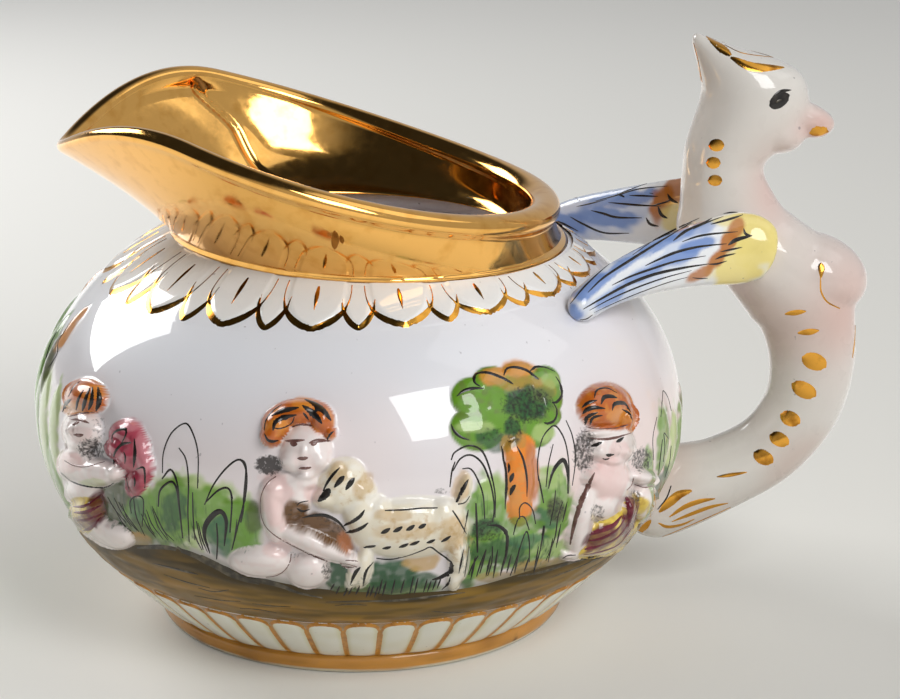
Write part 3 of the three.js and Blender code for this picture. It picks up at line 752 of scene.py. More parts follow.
def tongue_ring(u, v):
    angle = u * math.tau
    face = tongue_surface(angle, np.clip(v / FACE_SHARE, 0, 1))
    back = on_bowl(angle, np.where(v > BACK_SHARE, FOOT_TOP + 0.01, TONGUE_TOP), -BACK_DEPTH)
    return np.where((v <= FACE_SHARE)[:, None], face, back)


def angle_of(points):
    """Angle of points round the bowl's axis."""
    return np.arctan2(points[:, 1], points[:, 0])


def tongue_paint(points):
    rise = (points[:, 2] - FOOT_TOP + SWELL_SINK) / TONGUE_HEIGHT
    share = tongue_share(angle_of(points), rise)
    edge = smooth_step(share, 0.55, 1.0)
    cloud = grain(points, 3, 8)
    shade = np.clip(0.65 * edge + 0.4 * cloud - 0.15, 0, 1)
    coat = blend(all_over(CREAM, points), CREAM_SHADE, shade)
    return blend(coat, DARK_OCHRE, 0.85 * smooth_step(share, 1.0, 1.12))


tongue_bm = bmesh.new()
lay_sheet(tongue_bm, TONGUE_COLUMNS, TONGUE_ROWS, tongue_ring)
close_up(tongue_bm)
finish_piece("tongues", tongue_bm, ENAMEL, ["tongue_band"], tongue_paint)

# %% [markdown]
# ## Petals
#
# Below the collar hangs a ring of petals, large and small by turns. They barely stand out from the
# shoulder. A sheet on the shoulder is raised inside each petal's outline, with a soft edge, and a large
# petal overlaps the small ones beside it.

# %% Petal ring
PETAL_PAIRS = 18
PETAL_COLUMNS, PETAL_ROWS = 48 * PETAL_PAIRS, 36
PETAL_TIP = NECK - 5.1
TIP_SLOPE = 1.2
LARGE_HALF, SMALL_HALF = 0.42, 0.21
PETAL_RELIEF = 0.45


def petal_height(angle, fall):
    """Height on the shoulder, from a petal's root at 0 to its tip at 1."""
    root = neck_height(angle) - 0.1
    return root + (PETAL_TIP + TIP_SLOPE * np.cos(angle) - root) * fall


def petal_width(fall):
    """Share of a petal's half-width from its root, at 0, to its tip, at 1."""
    return np.clip(1 - np.clip(fall, 0, 1) ** 2.6, 0, 1) ** 0.75


def petal_inside(angle, fall, half, shift):
    """Above zero inside a petal that hangs from the neck."""
    across = (np.mod(angle * PETAL_PAIRS / math.tau + shift + 0.5, 1) - 0.5) / half
    return np.where(fall < 1, petal_width(fall), 1 - fall) - np.abs(across)


def petal_sheet(u, v):
    angle = (1 - u) * math.tau
    fall = 1.2 * v - 0.02
    large = smooth_step(petal_inside(angle, fall, LARGE_HALF, 0.0), 0.0, 0.25)
    small = smooth_step(petal_inside(angle, fall, SMALL_HALF, 0.5), 0.0, 0.3)
    fade = smooth_step(v, 1.0, 0.88)
    lift = PETAL_RELIEF * np.maximum(large, 0.6 * small) + 0.08 * fade - 0.05
    return on_bowl(angle, petal_height(angle, fall), lift)


PETAL_WHITE = colour("f1f0ec")


def petal_paint(points):
    angle = angle_of(points)
    root, tip = petal_height(angle, 0.0), petal_height(angle, 1.0)
    fall = (root - points[:, 2]) / (root - tip)
    large = petal_inside(angle, fall, LARGE_HALF, 0.0)
    inside = np.maximum(large, petal_inside(angle, fall, SMALL_HALF, 0.5))
    return blend(body_tint(points), PETAL_WHITE, 0.8 * smooth_step(inside, -0.05, 0.1))


petal_bm = bmesh.new()
lay_sheet(petal_bm, PETAL_COLUMNS, PETAL_ROWS, petal_sheet)
finish_piece("petals", petal_bm, WHITE_GLAZE, ["petal_ring"], petal_paint)

# %% [markdown]
# ## Strip of ground
#
# The figures stand on a low strip of earth that runs right round above the tongues. It is modelled with
# ripples along its length, and painted olive brown with dark streaks dragged sideways by the brush.
# Gold-brown streaks, stronger low down, are partly the earth's own ochre and partly a painted sheen.

# %% Ground strip
GROUND_BOTTOM = TONGUE_TOP - 0.6
GROUND_RELIEF = 0.75
GROUND_COLUMNS, GROUND_ROWS, HILL_STEPS = 900, 48, 200
RIPPLE_RADIUS, RIPPLE_SQUASH = 50, 3.2
EARTH, EARTH_DARK, EARTH_GOLD_AND_SHEEN = colour("846628"), colour("362c14"), colour("a67c30")
HILLS = [(-180, 19.5), (-163, 19.6), (-146, 21.2), (-131, 25.2), (-122, 26.6), (-111, 23.9),
         (-101, 22.0), (-83, 20.4), (-70, 20.0), (-57, 21.2), (-41, 20.0), (-22, 18.8), (0, 18.6)]


def ground_edge(angle):
    """Height of the strip's upper edge, which rises and falls in low hills."""
    folded = -np.abs(np.degrees(np.arctan2(np.sin(angle), np.cos(angle))))
    return np.interp(folded, *smooth_rows(HILLS, HILL_STEPS).T)


def ground_share(points):
    """How far up the strip a point is, from 0 at the bottom to 1 at the edge."""
    top = ground_edge(angle_of(points))
    return (points[:, 2] - GROUND_BOTTOM) / (top - GROUND_BOTTOM)


def ground_sheet(u, v):
    angle = u * math.tau
    height = GROUND_BOTTOM + (ground_edge(angle) + 0.4 - GROUND_BOTTOM) * v
    flat = np.stack([RIPPLE_RADIUS * np.cos(angle), RIPPLE_RADIUS * np.sin(angle),
                     RIPPLE_SQUASH * height], -1)
    ripple = grain(flat, 7, 11) - 0.5 + 0.5 * (grain(flat, 3, 12) - 0.5)
    edge = smooth_step(v, 0, 0.3) * smooth_step(v, 1, 0.8)
    tuck = smooth_step(v, 0.04, 0) + smooth_step(v, 0.95, 1)
    return on_bowl(angle, height, GROUND_RELIEF * (0.85 + 0.5 * ripple) * edge + 0.06 - 0.14 * tuck)


def ground_paint(points):
    rise = ground_share(points)
    drawn = points * (1, 1, 4.5)
    streak = smooth_step(grain(drawn, 9, 21), 0.48, 0.72)
    fine = smooth_step(grain(points * (1, 1, 8), 5, 22), 0.5, 0.72)
    # Gold-brown streaks, stronger low down: partly the earth's own ochre and partly a painted sheen.
    glint = smooth_step(grain(drawn, 6, 23), 0.4, 0.75)
    shade = smooth_step(rise + 0.4 * (grain(points, 6, 24) - 0.5), 0.72, 1.02)
    glint = glint * smooth_step(rise, 0.9, 0.1)
    coat = blend(all_over(EARTH, points), EARTH_GOLD_AND_SHEEN, glint)
    coat = blend(coat, EARTH_DARK, np.clip(0.5 * streak * (0.4 + rise) + 0.85 * shade, 0, 0.9))
    return blend(coat, EARTH_DARK * 1.5, 0.45 * fine)


ground_bm = bmesh.new()
lay_sheet(ground_bm, GROUND_COLUMNS, GROUND_ROWS, ground_sheet)
finish_piece("ground", ground_bm, EARTH_GLAZE, ["ground_band"], ground_paint)

# %% [markdown]
# ## Gold collar
#
# The collar starts as a ring on the bowl's neck and opens into an egg-shaped lip that climbs to a broad
# spout. The rim is rolled over, thick at the back and thinner at the tip. One sheet follows the whole
# section: up the outside, round the roll, down the inside and back under, so the piece is closed.

# %% Lip curve
COLLAR_STEP = 0.9
MOUTH_STEP = 8.5
BACK_REACH = 35.0
TIP_REACH = 51.5
SIDE_REACH = 42.0
RIM_RISE = 6.4
SPOUT_RISE = 24.2
TIP_DROOP = 14.5
TIP_SPREAD = 0.36 * math.pi
CLIMB_SHAPE = 1.3
EGG_TIP = 1.4
BACK_ROLL, TIP_ROLL = 5.6, 3.0


def front_share(turn):
    """1 at the spout's tip and 0 at the back, where turn is half a circle."""
    return (1 + np.cos(turn)) / 2


def from_tip(turn):
    """Angle from the spout's tip, the same on both sides."""
    return np.abs(np.mod(turn + math.pi, math.tau) - math.pi)


def lip_point(turn, inset):
    """A point of the lip: turn is 0 at the spout's tip, and inset goes inwards."""
    back, tip, side = BACK_REACH - inset, inset - TIP_REACH, SIDE_REACH - inset
    front = front_share(turn)
    egg = 1 + (EGG_TIP - 1) * front
    across = -side * np.sign(np.sin(turn)) * np.abs(np.sin(turn)) ** egg
    along = (back + tip) / 2 - (back - tip) / 2 * np.cos(turn)
    droop = TIP_DROOP * np.cos(np.clip(from_tip(turn) / TIP_SPREAD, 0, 1) * math.pi / 2) ** 2
    return np.stack([along, across, NECK + RIM_RISE + SPOUT_RISE * front**CLIMB_SHAPE - droop], -1)


def neck_point(turn, inset):
    """A point of the sloping neck ring, set in from the bowl's wall."""
    height = neck_height(turn + math.pi)
    radius = bowl_radius(height) - inset
    return np.stack([-radius * np.cos(turn), -radius * np.sin(turn), height], -1)


print("spout tip and back rim at", *lip_point(np.array([0.0, math.pi]), 0).round(1))

# %% Collar wall
SPOUT_BEND, BACK_BEND = np.array([0.15, 0.15, 0.32]), np.array([0.62, 0.62, 0.22])


def wall_bend(turn):
    """How far along, across and up the bend of the outside wall lies."""
    return BACK_BEND + (SPOUT_BEND - BACK_BEND) * front_share(turn)[:, None] ** 2


def flare(low, high, share, turn):
    """The outside wall: below the spout it climbs and then opens, and round the back it bulges."""
    bend = low + (high - low) * wall_bend(turn)
    share = share[:, None]
    return (1 - share) ** 2 * low + 2 * share * (1 - share) * bend + share**2 * high


print("bend of the wall at the spout and the back:", wall_bend(np.array([0, math.pi])).round(2).tolist())

# %% [markdown]
# Inside, the spout is scooped out until a thin wall is left. A straight lining would look like a thick
# funnel, so this one runs outwards first and is held back where it would break through the outside. A
# narrow groove shows where the spout was joined on.

# %% Collar lining
SCOOP, SCOOP_CURVE = 0.55, 6
SEAM_FOOT, SEAM_TOP, SEAM_SOFT = math.radians(65), math.radians(57), math.radians(1.2)
SEAM_DEPTH, CHEEK, CHEEK_REACH, SPOUT_REACH = 0.8, 1.4, 0.45, 0.5
LEAST_WALL, WALL_SOFT = 1.4, 0.3


def push_out(points, far):
    """Moves points straight away from the bowl's axis."""
    points[:, :2] *= (1 + far / np.hypot(points[:, 0], points[:, 1]))[:, None]


def keep_inside(lining, low, high, turn):
    """Draws the lining in where it would come too near to the outside wall."""
    rise = np.clip((lining[:, 2] - low[:, 2]) / (high[:, 2] - low[:, 2]), 0, 1)
    bend = wall_bend(turn)[:, 2]
    share = (np.sqrt(bend**2 + (1 - 2 * bend) * rise) - bend) / (1 - 2 * bend)
    wall = flare(low, high, share, turn)
    reach = np.hypot(lining[:, 0], lining[:, 1])
    room = np.hypot(wall[:, 0], wall[:, 1]) - LEAST_WALL
    push_out(lining, -WALL_SOFT * np.logaddexp(-reach / WALL_SOFT, -room / WALL_SOFT) - reach)


def scoop(low, high, share):
    """The lining: it runs outwards first, as a scoop does, and then climbs straight."""
    out = SCOOP * (1 - (1 - share) ** SCOOP_CURVE) + (1 - SCOOP) * share
    return low + (high - low) * np.stack([out, out, share], -1)


def past_seam(turn, share):
    """How far round, as an angle, a spot of the lining lies behind the seam of the spout."""
    return from_tip(turn) - SEAM_FOOT - (SEAM_TOP - SEAM_FOOT) * smooth_step(share, 0.5, 0.95)


def cheek(turn, share):
    """How far the lining is hollowed out on both sides of the seam."""
    behind = past_seam(turn, share)
    before_it = np.exp(-(np.clip(-behind, 0, None) / SPOUT_REACH) ** 2)
    after_it = np.clip(1 - np.clip(behind, 0, None) / CHEEK_REACH, 0, 1) ** 2
    return CHEEK * before_it * after_it * smooth_step(share, 1.0, 0.85)


def groove(turn, share):
    """Depth of the narrow seam where the spout was joined on."""
    return SEAM_DEPTH * np.exp(-((past_seam(turn, share) / SEAM_SOFT) ** 2)) * smooth_step(share, 1.0, 0.9)


print("the wall is left at least", LEAST_WALL, "mm thick")

# %% Rolled rim and whole section
ROLL_CROWN, ROLL_SQUASH, LEAST_ROLL = 1.1, 0.42, 1.1


def rim_roll(turn, swing):
    """A point of the rolled rim: swing 0 is outermost, a quarter turn is the crown."""
    front = front_share(turn)
    thick = BACK_ROLL + (TIP_ROLL - BACK_ROLL) * front
    outer = lip_point(turn, 0)
    inner = outer + (lip_point(turn, 1) - outer) * thick[:, None]
    half_high = np.maximum(ROLL_SQUASH * thick, LEAST_ROLL)
    spot = (outer + inner) / 2 + (outer - inner) / 2 * np.cos(swing)[:, None]
    spot[:, 2] += ROLL_CROWN - half_high + half_high * np.sin(swing)
    return spot


UNDER_SWING, INSIDE_SWING = math.radians(-52), math.radians(196)
WALL_END, ROLL_END, LINING_END, UNDER_START = 0.40, 0.62, 0.97, 0.985
LINING_STEP = np.array([0, 0, 1.2])
BEAD_HEIGHT, BEAD_SWELL = 1.1, 0.75
COLLAR_COLUMNS, COLLAR_ROWS = 540, 72


def collar_section(u, v):
    turn = u * math.tau
    spans = ((0, WALL_END), (WALL_END, ROLL_END), (ROLL_END, LINING_END))
    outside, roll, inside = (np.clip((v - low) / (high - low), 0, 1) for low, high in spans)
    under, over = (rim_roll(turn, np.full_like(turn, swing)) for swing in (UNDER_SWING, INSIDE_SWING))
    base = neck_point(turn, COLLAR_STEP)
    wall = flare(base, under, outside, turn)
    climb = wall[:, 2] - base[:, 2]
    bead = BEAD_SWELL * np.clip(1 - (2 * climb / BEAD_HEIGHT - 1) ** 2, 0, 1) ** 0.5
    push_out(wall, bead)
    curl = rim_roll(turn, UNDER_SWING + (INSIDE_SWING - UNDER_SWING) * roll)
    lining = scoop(neck_point(turn, MOUTH_STEP) + LINING_STEP, over, 1 - inside)
    push_out(lining, cheek(turn, 1 - inside))
    keep_inside(lining, base, under, turn)
    push_out(lining, groove(turn, 1 - inside))
    parts = [(v < WALL_END)[:, None], (v < ROLL_END)[:, None], (v <= UNDER_START)[:, None]]
    return np.select(parts, [wall, curl, lining], base)


collar_bm = bmesh.new()
lay_sheet(collar_bm, COLLAR_COLUMNS, COLLAR_ROWS, collar_section)
close_up(collar_bm)
finish_piece("gold_collar", collar_bm, GOLD_LUSTRE, ["spout_collar"])

# %% [markdown]
# ## Handle creature
#
# The handle is one modelled figure: a tail that curls up from the bowl, a smooth chest, a neck and a
# small head with a swept crest and a bill. A modeller builds that from rolls, slices and balls of clay
# and rubs the joins away. Here a roll is a tube lofted along its spine, the neck and head are a stack of
# level slices, a ball is a sphere, and a voxel remesh with some smoothing does the rubbing.

# %% Rolls, slices and balls
HANDLE_SHIFT = np.array([BELLY_RADIUS, 0, BELLY])
ROUND_END = 0.12


def roll_of_clay(bm, table, across, around=48, along=96):
    """A tube through rows of place, half-depth and half-width, with rounded ends."""
    rows = smooth_rows(table, along + 1)
    ahead = unit(np.gradient(rows[:, :3], axis=0))
    wide = unit(across - ahead * (ahead @ across)[:, None])
    deep = np.cross(ahead, wide)
    share = np.linspace(0, 1, along + 1)
    past = np.clip(np.abs(2 * share - 1) - (1 - ROUND_END), 0, ROUND_END)
    ends = np.sqrt(np.clip(1 - past**2 / ROUND_END**2, 0, 1))

    def shape(u, v):
        row = np.rint(v * along).astype(int)
        turn = u * math.tau
        swing = (rows[row, 3] * ends[row] * np.cos(turn))[:, None] * deep[row]
        return rows[row, :3] + swing + (rows[row, 4] * ends[row] * np.sin(turn))[:, None] * wide[row]

    lay_sheet(bm, around, along, shape)


def stack_of_slices(bm, table, around=56, along=120):
    """Level slices, each given by its height, its back and front along X, and its half-width."""
    rows = smooth_rows(table, along + 1)

    def shape(u, v):
        height, back, front, half = rows[np.rint(v * along).astype(int)].T
        turn = u * math.tau
        place = (back + front) / 2 + (front - back) / 2 * np.cos(turn)
        return np.stack([place, half * np.sin(turn), height], -1)

    lay_sheet(bm, around, along, shape)


def ball_of_clay(bm, place, half, pitch=0.0):
    """A sphere squashed to half sizes, nose down by pitch in degrees."""
    matrix = Matrix.Translation(in_frame(place)) @ Matrix.Rotation(math.radians(pitch), 4, "Y")
    matrix = matrix @ Matrix.Diagonal((*(np.array(half) * MM), 1))
    bmesh.ops.create_uvsphere(bm, u_segments=40, v_segments=24, radius=1, matrix=matrix)


def rub_joins(bm, voxel, rubs):
    """Fuses all the clay in a bmesh into one skin and smooths it."""
    rough = bpy.data.meshes.new("clay")
    bm.to_mesh(rough)
    bm.free()
    lump = bpy.data.objects.new("clay", rough)
    bpy.context.scene.collection.objects.link(lump)
    remesh = lump.modifiers.new("fuse", "REMESH")
    remesh.mode = "VOXEL"
    remesh.voxel_size = voxel * MM
    fused = bpy.data.meshes.new_from_object(lump.evaluated_get(bpy.context.evaluated_depsgraph_get()))
    bpy.data.objects.remove(lump)
    skin = bmesh.new()
    skin.from_mesh(fused)
    bpy.data.meshes.remove(rough)
    bpy.data.meshes.remove(fused)
    for _ in range(rubs):
        bmesh.ops.smooth_vert(skin, verts=skin.verts, factor=0.5,
                              use_axis_x=True, use_axis_y=True, use_axis_z=True)
    close_up(skin)
    return skin


print("handle measured from", HANDLE_SHIFT.round(1))

# %% Creature
SIDEWAYS = np.array([0.0, 1.0, 0.0])
SPINE = [(-10.3, -22.2, 7.2, 6.2), (-0.6, -18.2, 8.0, 6.4), (8.3, -15.2, 6.8, 6.2),
         (16.8, -10.4, 6.5, 6.2), (22.2, -3.2, 6.9, 6.4), (23.9, 4.5, 7.5, 6.8), (23.2, 12.0, 8.2, 7.4),
         (20.8, 18.8, 9.6, 8.6), (14.8, 25.2, 8.6, 8.8), (10.2, 30.4, 7.2, 7.4), (8.0, 35.0, 6.4, 6.0)]
HEAD_SLICES = [(63.5, 66.0, 67.0, 0.2), (66.0, 56.2, 77.4, 7.6), (72.7, 55.9, 72.9, 7.0),
               (78.2, 56.2, 70.3, 6.4), (82.0, 56.5, 73.2, 6.7), (86.0, 57.6, 76.6, 7.2),
               (90.0, 58.8, 77.7, 7.4), (93.0, 59.1, 77.2, 7.1), (95.4, 58.6, 75.6, 6.3),
               (97.2, 58.0, 72.0, 5.2), (98.6, 57.6, 67.2, 4.1), (99.8, 57.3, 63.4, 3.1),
               (101.0, 57.2, 60.0, 1.9), (101.8, 57.5, 58.6, 0.8), (102.0, 57.9, 58.1, 0.1)]
CHEST_BALL = ((80.3, 0, 59.5), (9.4, 8.4, 6.8), 22)
SNOUT_BALL = ((76.8, 0, 87.2), (6.0, 3.7, 2.7), 18)
LIP_BALL = ((78.8, 0, 84.7), (3.0, 2.7, 1.3), 0)
JAW_BALL = ((71.6, 0, 85.4), (6.0, 6.0, 4.4), 20)

creature_bm = bmesh.new()
spine_rows = [(HANDLE_SHIFT[0] + out, 0, HANDLE_SHIFT[2] + up, deep, wide)
              for out, up, deep, wide in SPINE]
roll_of_clay(creature_bm, spine_rows, SIDEWAYS)
stack_of_slices(creature_bm, HEAD_SLICES)
for place, half, pitch in (CHEST_BALL, SNOUT_BALL, LIP_BALL, JAW_BALL):
    ball_of_clay(creature_bm, place, half, pitch)
creature_bm = rub_joins(creature_bm, voxel=0.5, rubs=5)
PORCELAIN, CREATURE_ROSE, BLUSH = colour("dcd7d0"), colour("d3c2b8"), colour("d9a69b")


def creature_paint(points):
    cloud = grain(points, 14, 31)
    out, up = points[:, 0] - HANDLE_SHIFT[0], points[:, 2] - HANDLE_SHIFT[2]
    chest = np.exp(-((out - 29) / 9) ** 2 - ((up - 19) / 13) ** 2)
    throat = np.exp(-((out - 15) / 5) ** 2 - ((up - 38) / 8) ** 2)
    bill = np.exp(-((out - 23) / 4.5) ** 2 - ((up - 48) / 4) ** 2)
    flank = smooth_step(up, 36, 20) * smooth_step(cloud, 0.3, 0.75)
    coat = blend(all_over(PORCELAIN, points), CREATURE_ROSE, 0.9 * flank)
    rosy = np.clip(0.6 * chest + 0.65 * throat + 0.8 * bill, 0, 1)
    return blend(coat, BLUSH, rosy * (0.7 + 0.3 * cloud))


finish_piece("creature", creature_bm, WHITE_GLAZE, ["tail_handle", "torso", "head"],
             creature_paint)

# %% [markdown]
# ## Wings
#
# Each wing is a flat paddle that springs from the shoulder blade and bends forward and out until its
# tip rests on the bowl. It is rolled like the spine but flatter, and the far wing is the near one
# mirrored, set a little higher and made deeper. The painter washed it blue at the tip and yellow at
# the root, with a brown bar between, and gave its inner face a simpler pattern. Two long white washes
# along the ridge of the outer face are a painted highlight. The feathers are lines that the brush adds
# later.

# %% Wing shape
WING_STATIONS = [(71.4, -8.0, 65.4, 2.6, 2.0), (69.4, -8.4, 65.8, 5.2, 3.0),
                 (64.9, -8.8, 66.0, 6.2, 3.3), (57.0, -12.8, 65.7, 5.3, 3.1),
                 (48.8, -18.2, 64.8, 4.2, 2.8), (41.0, -24.2, 63.2, 3.3, 2.5),
                 (34.6, -30.0, 60.4, 2.5, 2.2)]
FAR_WING_RAISE, FAR_WING_DEPTH = 1.8, 1.28
WING_TIP_X, WING_REACH = 30, 40
WING_LEAN_X, WING_LEAN_Z = 0.35, 0.15


def build_wing(side):
    wing_bm = bmesh.new()
    raised, deeper = (FAR_WING_RAISE, FAR_WING_DEPTH) if side > 0 else (0, 1)
    stations = [(x, -side * y, z + raised * (x - WING_TIP_X) / WING_REACH, deeper * high, thick)
                for x, y, z, high, thick in WING_STATIONS]
    roll_of_clay(wing_bm, stations, np.array([WING_LEAN_X, side, WING_LEAN_Z]), around=64, along=110)
    return rub_joins(wing_bm, voxel=0.42, rubs=3)


print("wing stations:", len(WING_STATIONS))

# %% Wing paint
WING_TINTS = {"blue": colour("6f8fcb"), "pale_blue": colour("a9bde2"), "yellow": colour("f0dd86"),
              "orange": colour("b9702a"), "white": colour("eef0f2")}
OUTER_WASHES_AND_HIGHLIGHT = [("pale_blue", 640, 640, 520, 150, -36, 0.5), ("blue", 170, 930, 90, 90, 0, 0.9),
                ("blue", 320, 770, 130, 60, -42, 0.9), ("blue", 520, 640, 140, 50, -36, 0.8),
                ("blue", 740, 500, 150, 45, -32, 0.85), ("blue", 900, 420, 120, 40, -26, 0.7),
                ("blue", 990, 500, 130, 38, -14, 0.9), ("blue", 860, 580, 150, 40, -20, 0.85),
                ("blue", 650, 690, 150, 36, -26, 0.8), ("blue", 440, 830, 120, 40, -32, 0.8),
                # The long thin white washes just below lie along the ridge of the outer face: a painted
                # highlight.
                ("blue", 1010, 400, 120, 36, -20, 0.6), ("white", 480, 720, 240, 22, -38, 0.9),
                ("white", 700, 585, 120, 18, -32, 0.8), ("yellow", 1380, 450, 190, 240, 0, 1.0),
                ("yellow", 1230, 640, 190, 130, -20, 0.95), ("yellow", 1200, 330, 130, 50, -10, 0.75),
                ("orange", 1235, 400, 52, 66, 20, 0.9), ("orange", 1180, 490, 48, 76, 25, 0.95),
                ("orange", 1110, 590, 46, 80, 40, 0.95), ("orange", 1010, 680, 110, 36, -25, 0.9)]
INNER_WASHES = [("pale_blue", 350, 300, 400, 160, -8, 0.6), ("blue", 180, 360, 150, 60, 12, 0.9),
                ("blue", 430, 330, 200, 60, 4, 0.9), ("blue", 600, 210, 190, 50, -12, 0.85),
                ("blue", 420, 215, 160, 36, -18, 0.7), ("orange", 760, 250, 70, 130, 18, 0.95),
                ("orange", 860, 150, 80, 90, 0, 0.85), ("yellow", 840, 330, 90, 90, 0, 0.8)]
WING_MIDDLE_X, WING_MIDDLE_Y = zip(*sorted((x, -y) for x, y, *_ in WING_STATIONS))


def wing_paint(points):
    sideways = np.abs(points[:, 1])
    inner = smooth_step(np.interp(points[:, 0], WING_MIDDLE_X, WING_MIDDLE_Y) - sideways, 0.0, 1.2)
    ragged = 0.5 * (grain(points, 1.6, 41) - 0.5)
    coats = []
    for sign, rows in ((-1, OUTER_WASHES_AND_HIGHLIGHT), (1, INNER_WASHES)):
        spots = in_view("wing", seen_at(np.stack([points[:, 0], sign * sideways, points[:, 2]], -1)))
        coat = all_over(WING_TINTS["white"], points)
        for name, x, y, wide, high, turn, strength in rows:
            edge = oval(spots, (x, y), (wide, high), turn) + ragged
            coat = blend(coat, WING_TINTS[name], strength * smooth_step(edge, 1.2, 0.75))
        coats.append(coat)
    return blend(coats[0], coats[1], inner)


for side, label in ((-1, "left"), (1, "right")):
    finish_piece("feathered_wing_" + label, build_wing(side), WHITE_GLAZE, ["wing_" + label],
                 wing_paint)

# %% [markdown]
# ## Frieze: the modelled figures
#
# On the real jug the figures come out of a mould, so their edges melt into the wall. Separate solids
# would show hard joins, so the frieze is one skin on the bowl that swells wherever a figure is. A figure
# is a handful of oval lumps, as a modeller presses pellets of clay onto a wall and thumbs them together.
# The lumps are placed on the enlarged views. A tall lump is seen a little aside from the wall behind
# it, so the distance to its middle is found in a few rounds, each at the height that the last one gave.

# %% Places of lumps
ROUNDS = 3


def seen_share(points):
    """1 where the bowl's wall faces the camera and 0 where it turns away."""
    away = CAMERA_SPOT[:2] - points[:, :2]
    return smooth_step(np.sum(unit(points[:, :2]) * unit(away), axis=-1), 0.02, 0.12)


def swelling(distance, high):
    """Height of a lump at a distance from its middle, with a low skirt where glaze fills the edge."""
    dome = np.clip(1 - distance**2.2, 0, 1) ** 0.8
    return high * (0.8 * dome + 0.2 * smooth_step(distance, 1.14, 0.8))


def lump_distance(view, lump, angle, height):
    """How far spots of the wall lie from a lump's middle: 1 is its edge."""
    x, y, wide, high, turn, swell = lump
    lift = swell / 2
    for _ in range(ROUNDS):
        pixels = seen_at(on_bowl(angle, height, lift))
        distance = oval(in_view(view, pixels), (x, y), (wide, high), turn)
        lift = (lift + swelling(distance, swell)) / 2
    return distance


print("a lump's distance takes", ROUNDS, "rounds")

# %% Lumps of the figures
SKIN_LUMPS = {
    "left": [(262, 575, 100, 115, 0, 2.5), (252, 572, 24, 50, 0, 3.0), (250, 655, 62, 45, 0, 2.3),
             (235, 745, 95, 90, 0, 2.4), (300, 796, 158, 78, 9, 2.7), (430, 800, 60, 52, 0, 2.5),
             (268, 895, 88, 80, 0, 2.2), (418, 1122, 128, 70, 22, 2.1), (345, 1080, 80, 66, 12, 2.1)],
    "middle": [(430, 462, 166, 186, 0, 2.6), (416, 465, 34, 74, 0, 2.95), (335, 520, 78, 78, 0, 2.5),
               (515, 520, 78, 78, 0, 2.5), (422, 575, 55, 28, 0, 2.65), (425, 625, 70, 40, 0, 2.4),
               (395, 668, 110, 66, 0, 1.7), (300, 775, 165, 170, -8, 1.9), (215, 735, 88, 100, 0, 2.5),
               (218, 880, 82, 190, -10, 2.7), (475, 1072, 275, 74, 23, 2.6), (715, 1180, 70, 46, 15, 2.4),
               (130, 1190, 205, 105, 4, 2.2), (445, 1255, 142, 112, 0, 2.4)],
    "right": [(1092, 600, 138, 132, 0, 2.5), (1075, 620, 30, 56, 0, 3.0), (1015, 635, 62, 60, 0, 2.6),
              (1152, 628, 64, 62, 0, 2.6), (1092, 698, 76, 44, 0, 2.4), (1065, 515, 155, 38, -5, 2.5),
              (1095, 750, 95, 60, 0, 1.9), (1070, 845, 150, 150, 6, 2.4), (975, 805, 68, 80, 0, 2.4),
              (905, 1070, 74, 262, 14, 2.6), (822, 1285, 66, 34, -8, 1.6), (1285, 802, 84, 52, 8, 2.5),
              (1290, 965, 72, 130, 10, 2.6), (1045, 985, 105, 110, 0, 2.3)],
}
HAIR_LUMPS = {
    "left": [(280, 400, 112, 94, 0, 2.9)],
    "middle": [(375, 208, 185, 88, -6, 3.0), (238, 285, 96, 112, 15, 3.0), (205, 360, 74, 78, 0, 2.7),
               (532, 250, 82, 108, -20, 2.9), (588, 345, 44, 48, 0, 2.5)],
    "right": [(1045, 352, 168, 146, 4, 3.1), (1180, 425, 46, 92, 0, 2.8)],
}
GOAT_LUMPS = {"middle": [
    (668, 690, 158, 185, 22, 2.8), (770, 735, 130, 110, 20, 2.5), (558, 775, 82, 72, 0, 2.6),
    (632, 570, 78, 58, -25, 2.3), (795, 870, 120, 150, -28, 2.5), (1105, 975, 385, 188, -2, 2.5),
    (905, 880, 110, 115, 0, 2.4), (1350, 950, 135, 175, 0, 2.6), (1465, 735, 46, 120, 14, 1.5),
    (805, 1225, 66, 140, 12, 2.0), (740, 1275, 42, 100, 16, 1.6), (1430, 1150, 68, 165, -4, 2.2),
    (1402, 1305, 44, 74, 10, 1.6)]}
CLOTH_LUMPS = {
    "left": [(292, 1008, 88, 98, 8, 2.6)],
    "right": [(1080, 1150, 190, 112, -40, 2.8), (945, 1250, 100, 52, -14, 2.0),
              (1190, 1020, 52, 120, 16, 2.7)],
}
TREE_LUMPS = {"right": [
    (440, 350, 290, 225, 0, 0.9), (200, 290, 128, 118, -10, 0.9), (232, 495, 165, 135, 10, 0.9),
    (325, 195, 118, 92, 0, 0.9), (490, 155, 112, 80, 0, 0.9), (655, 205, 100, 105, 0, 0.9),
    (700, 310, 68, 92, 0, 0.8), (690, 410, 70, 70, 0, 0.8), (600, 510, 110, 100, 0, 0.8)]}
TRUNK_LUMPS = {"right": [(500, 640, 96, 110, 0, 1.0), (505, 790, 88, 220, -2, 1.2),
                         (500, 985, 78, 120, 4, 1.0)]}
BERRY_LUMPS = {"left": [
    (500, 600, 90, 80, 0, 2.0), (556, 670, 66, 110, -8, 2.0), (452, 668, 62, 62, 0, 2.1),
    (520, 715, 80, 80, 0, 2.2), (590, 760, 52, 100, -6, 2.0), (552, 848, 54, 74, 0, 2.1)]}
PLANT_LUMPS = {
    "left": [(800, 1010, 260, 180, 8, 0.6), (1060, 1080, 150, 150, 0, 0.6),
             (570, 1010, 110, 160, -12, 0.7), (450, 960, 110, 120, 0, 0.6)],
    "middle": [(70, 1000, 120, 180, 0, 0.6), (1000, 1300, 200, 110, 0, 0.5),
               (650, 1295, 80, 100, 0, 0.5)],
    "right": [(300, 1040, 130, 240, 0, 0.7), (720, 980, 110, 250, 0, 0.7), (480, 1260, 290, 120, 0, 0.6)],
}
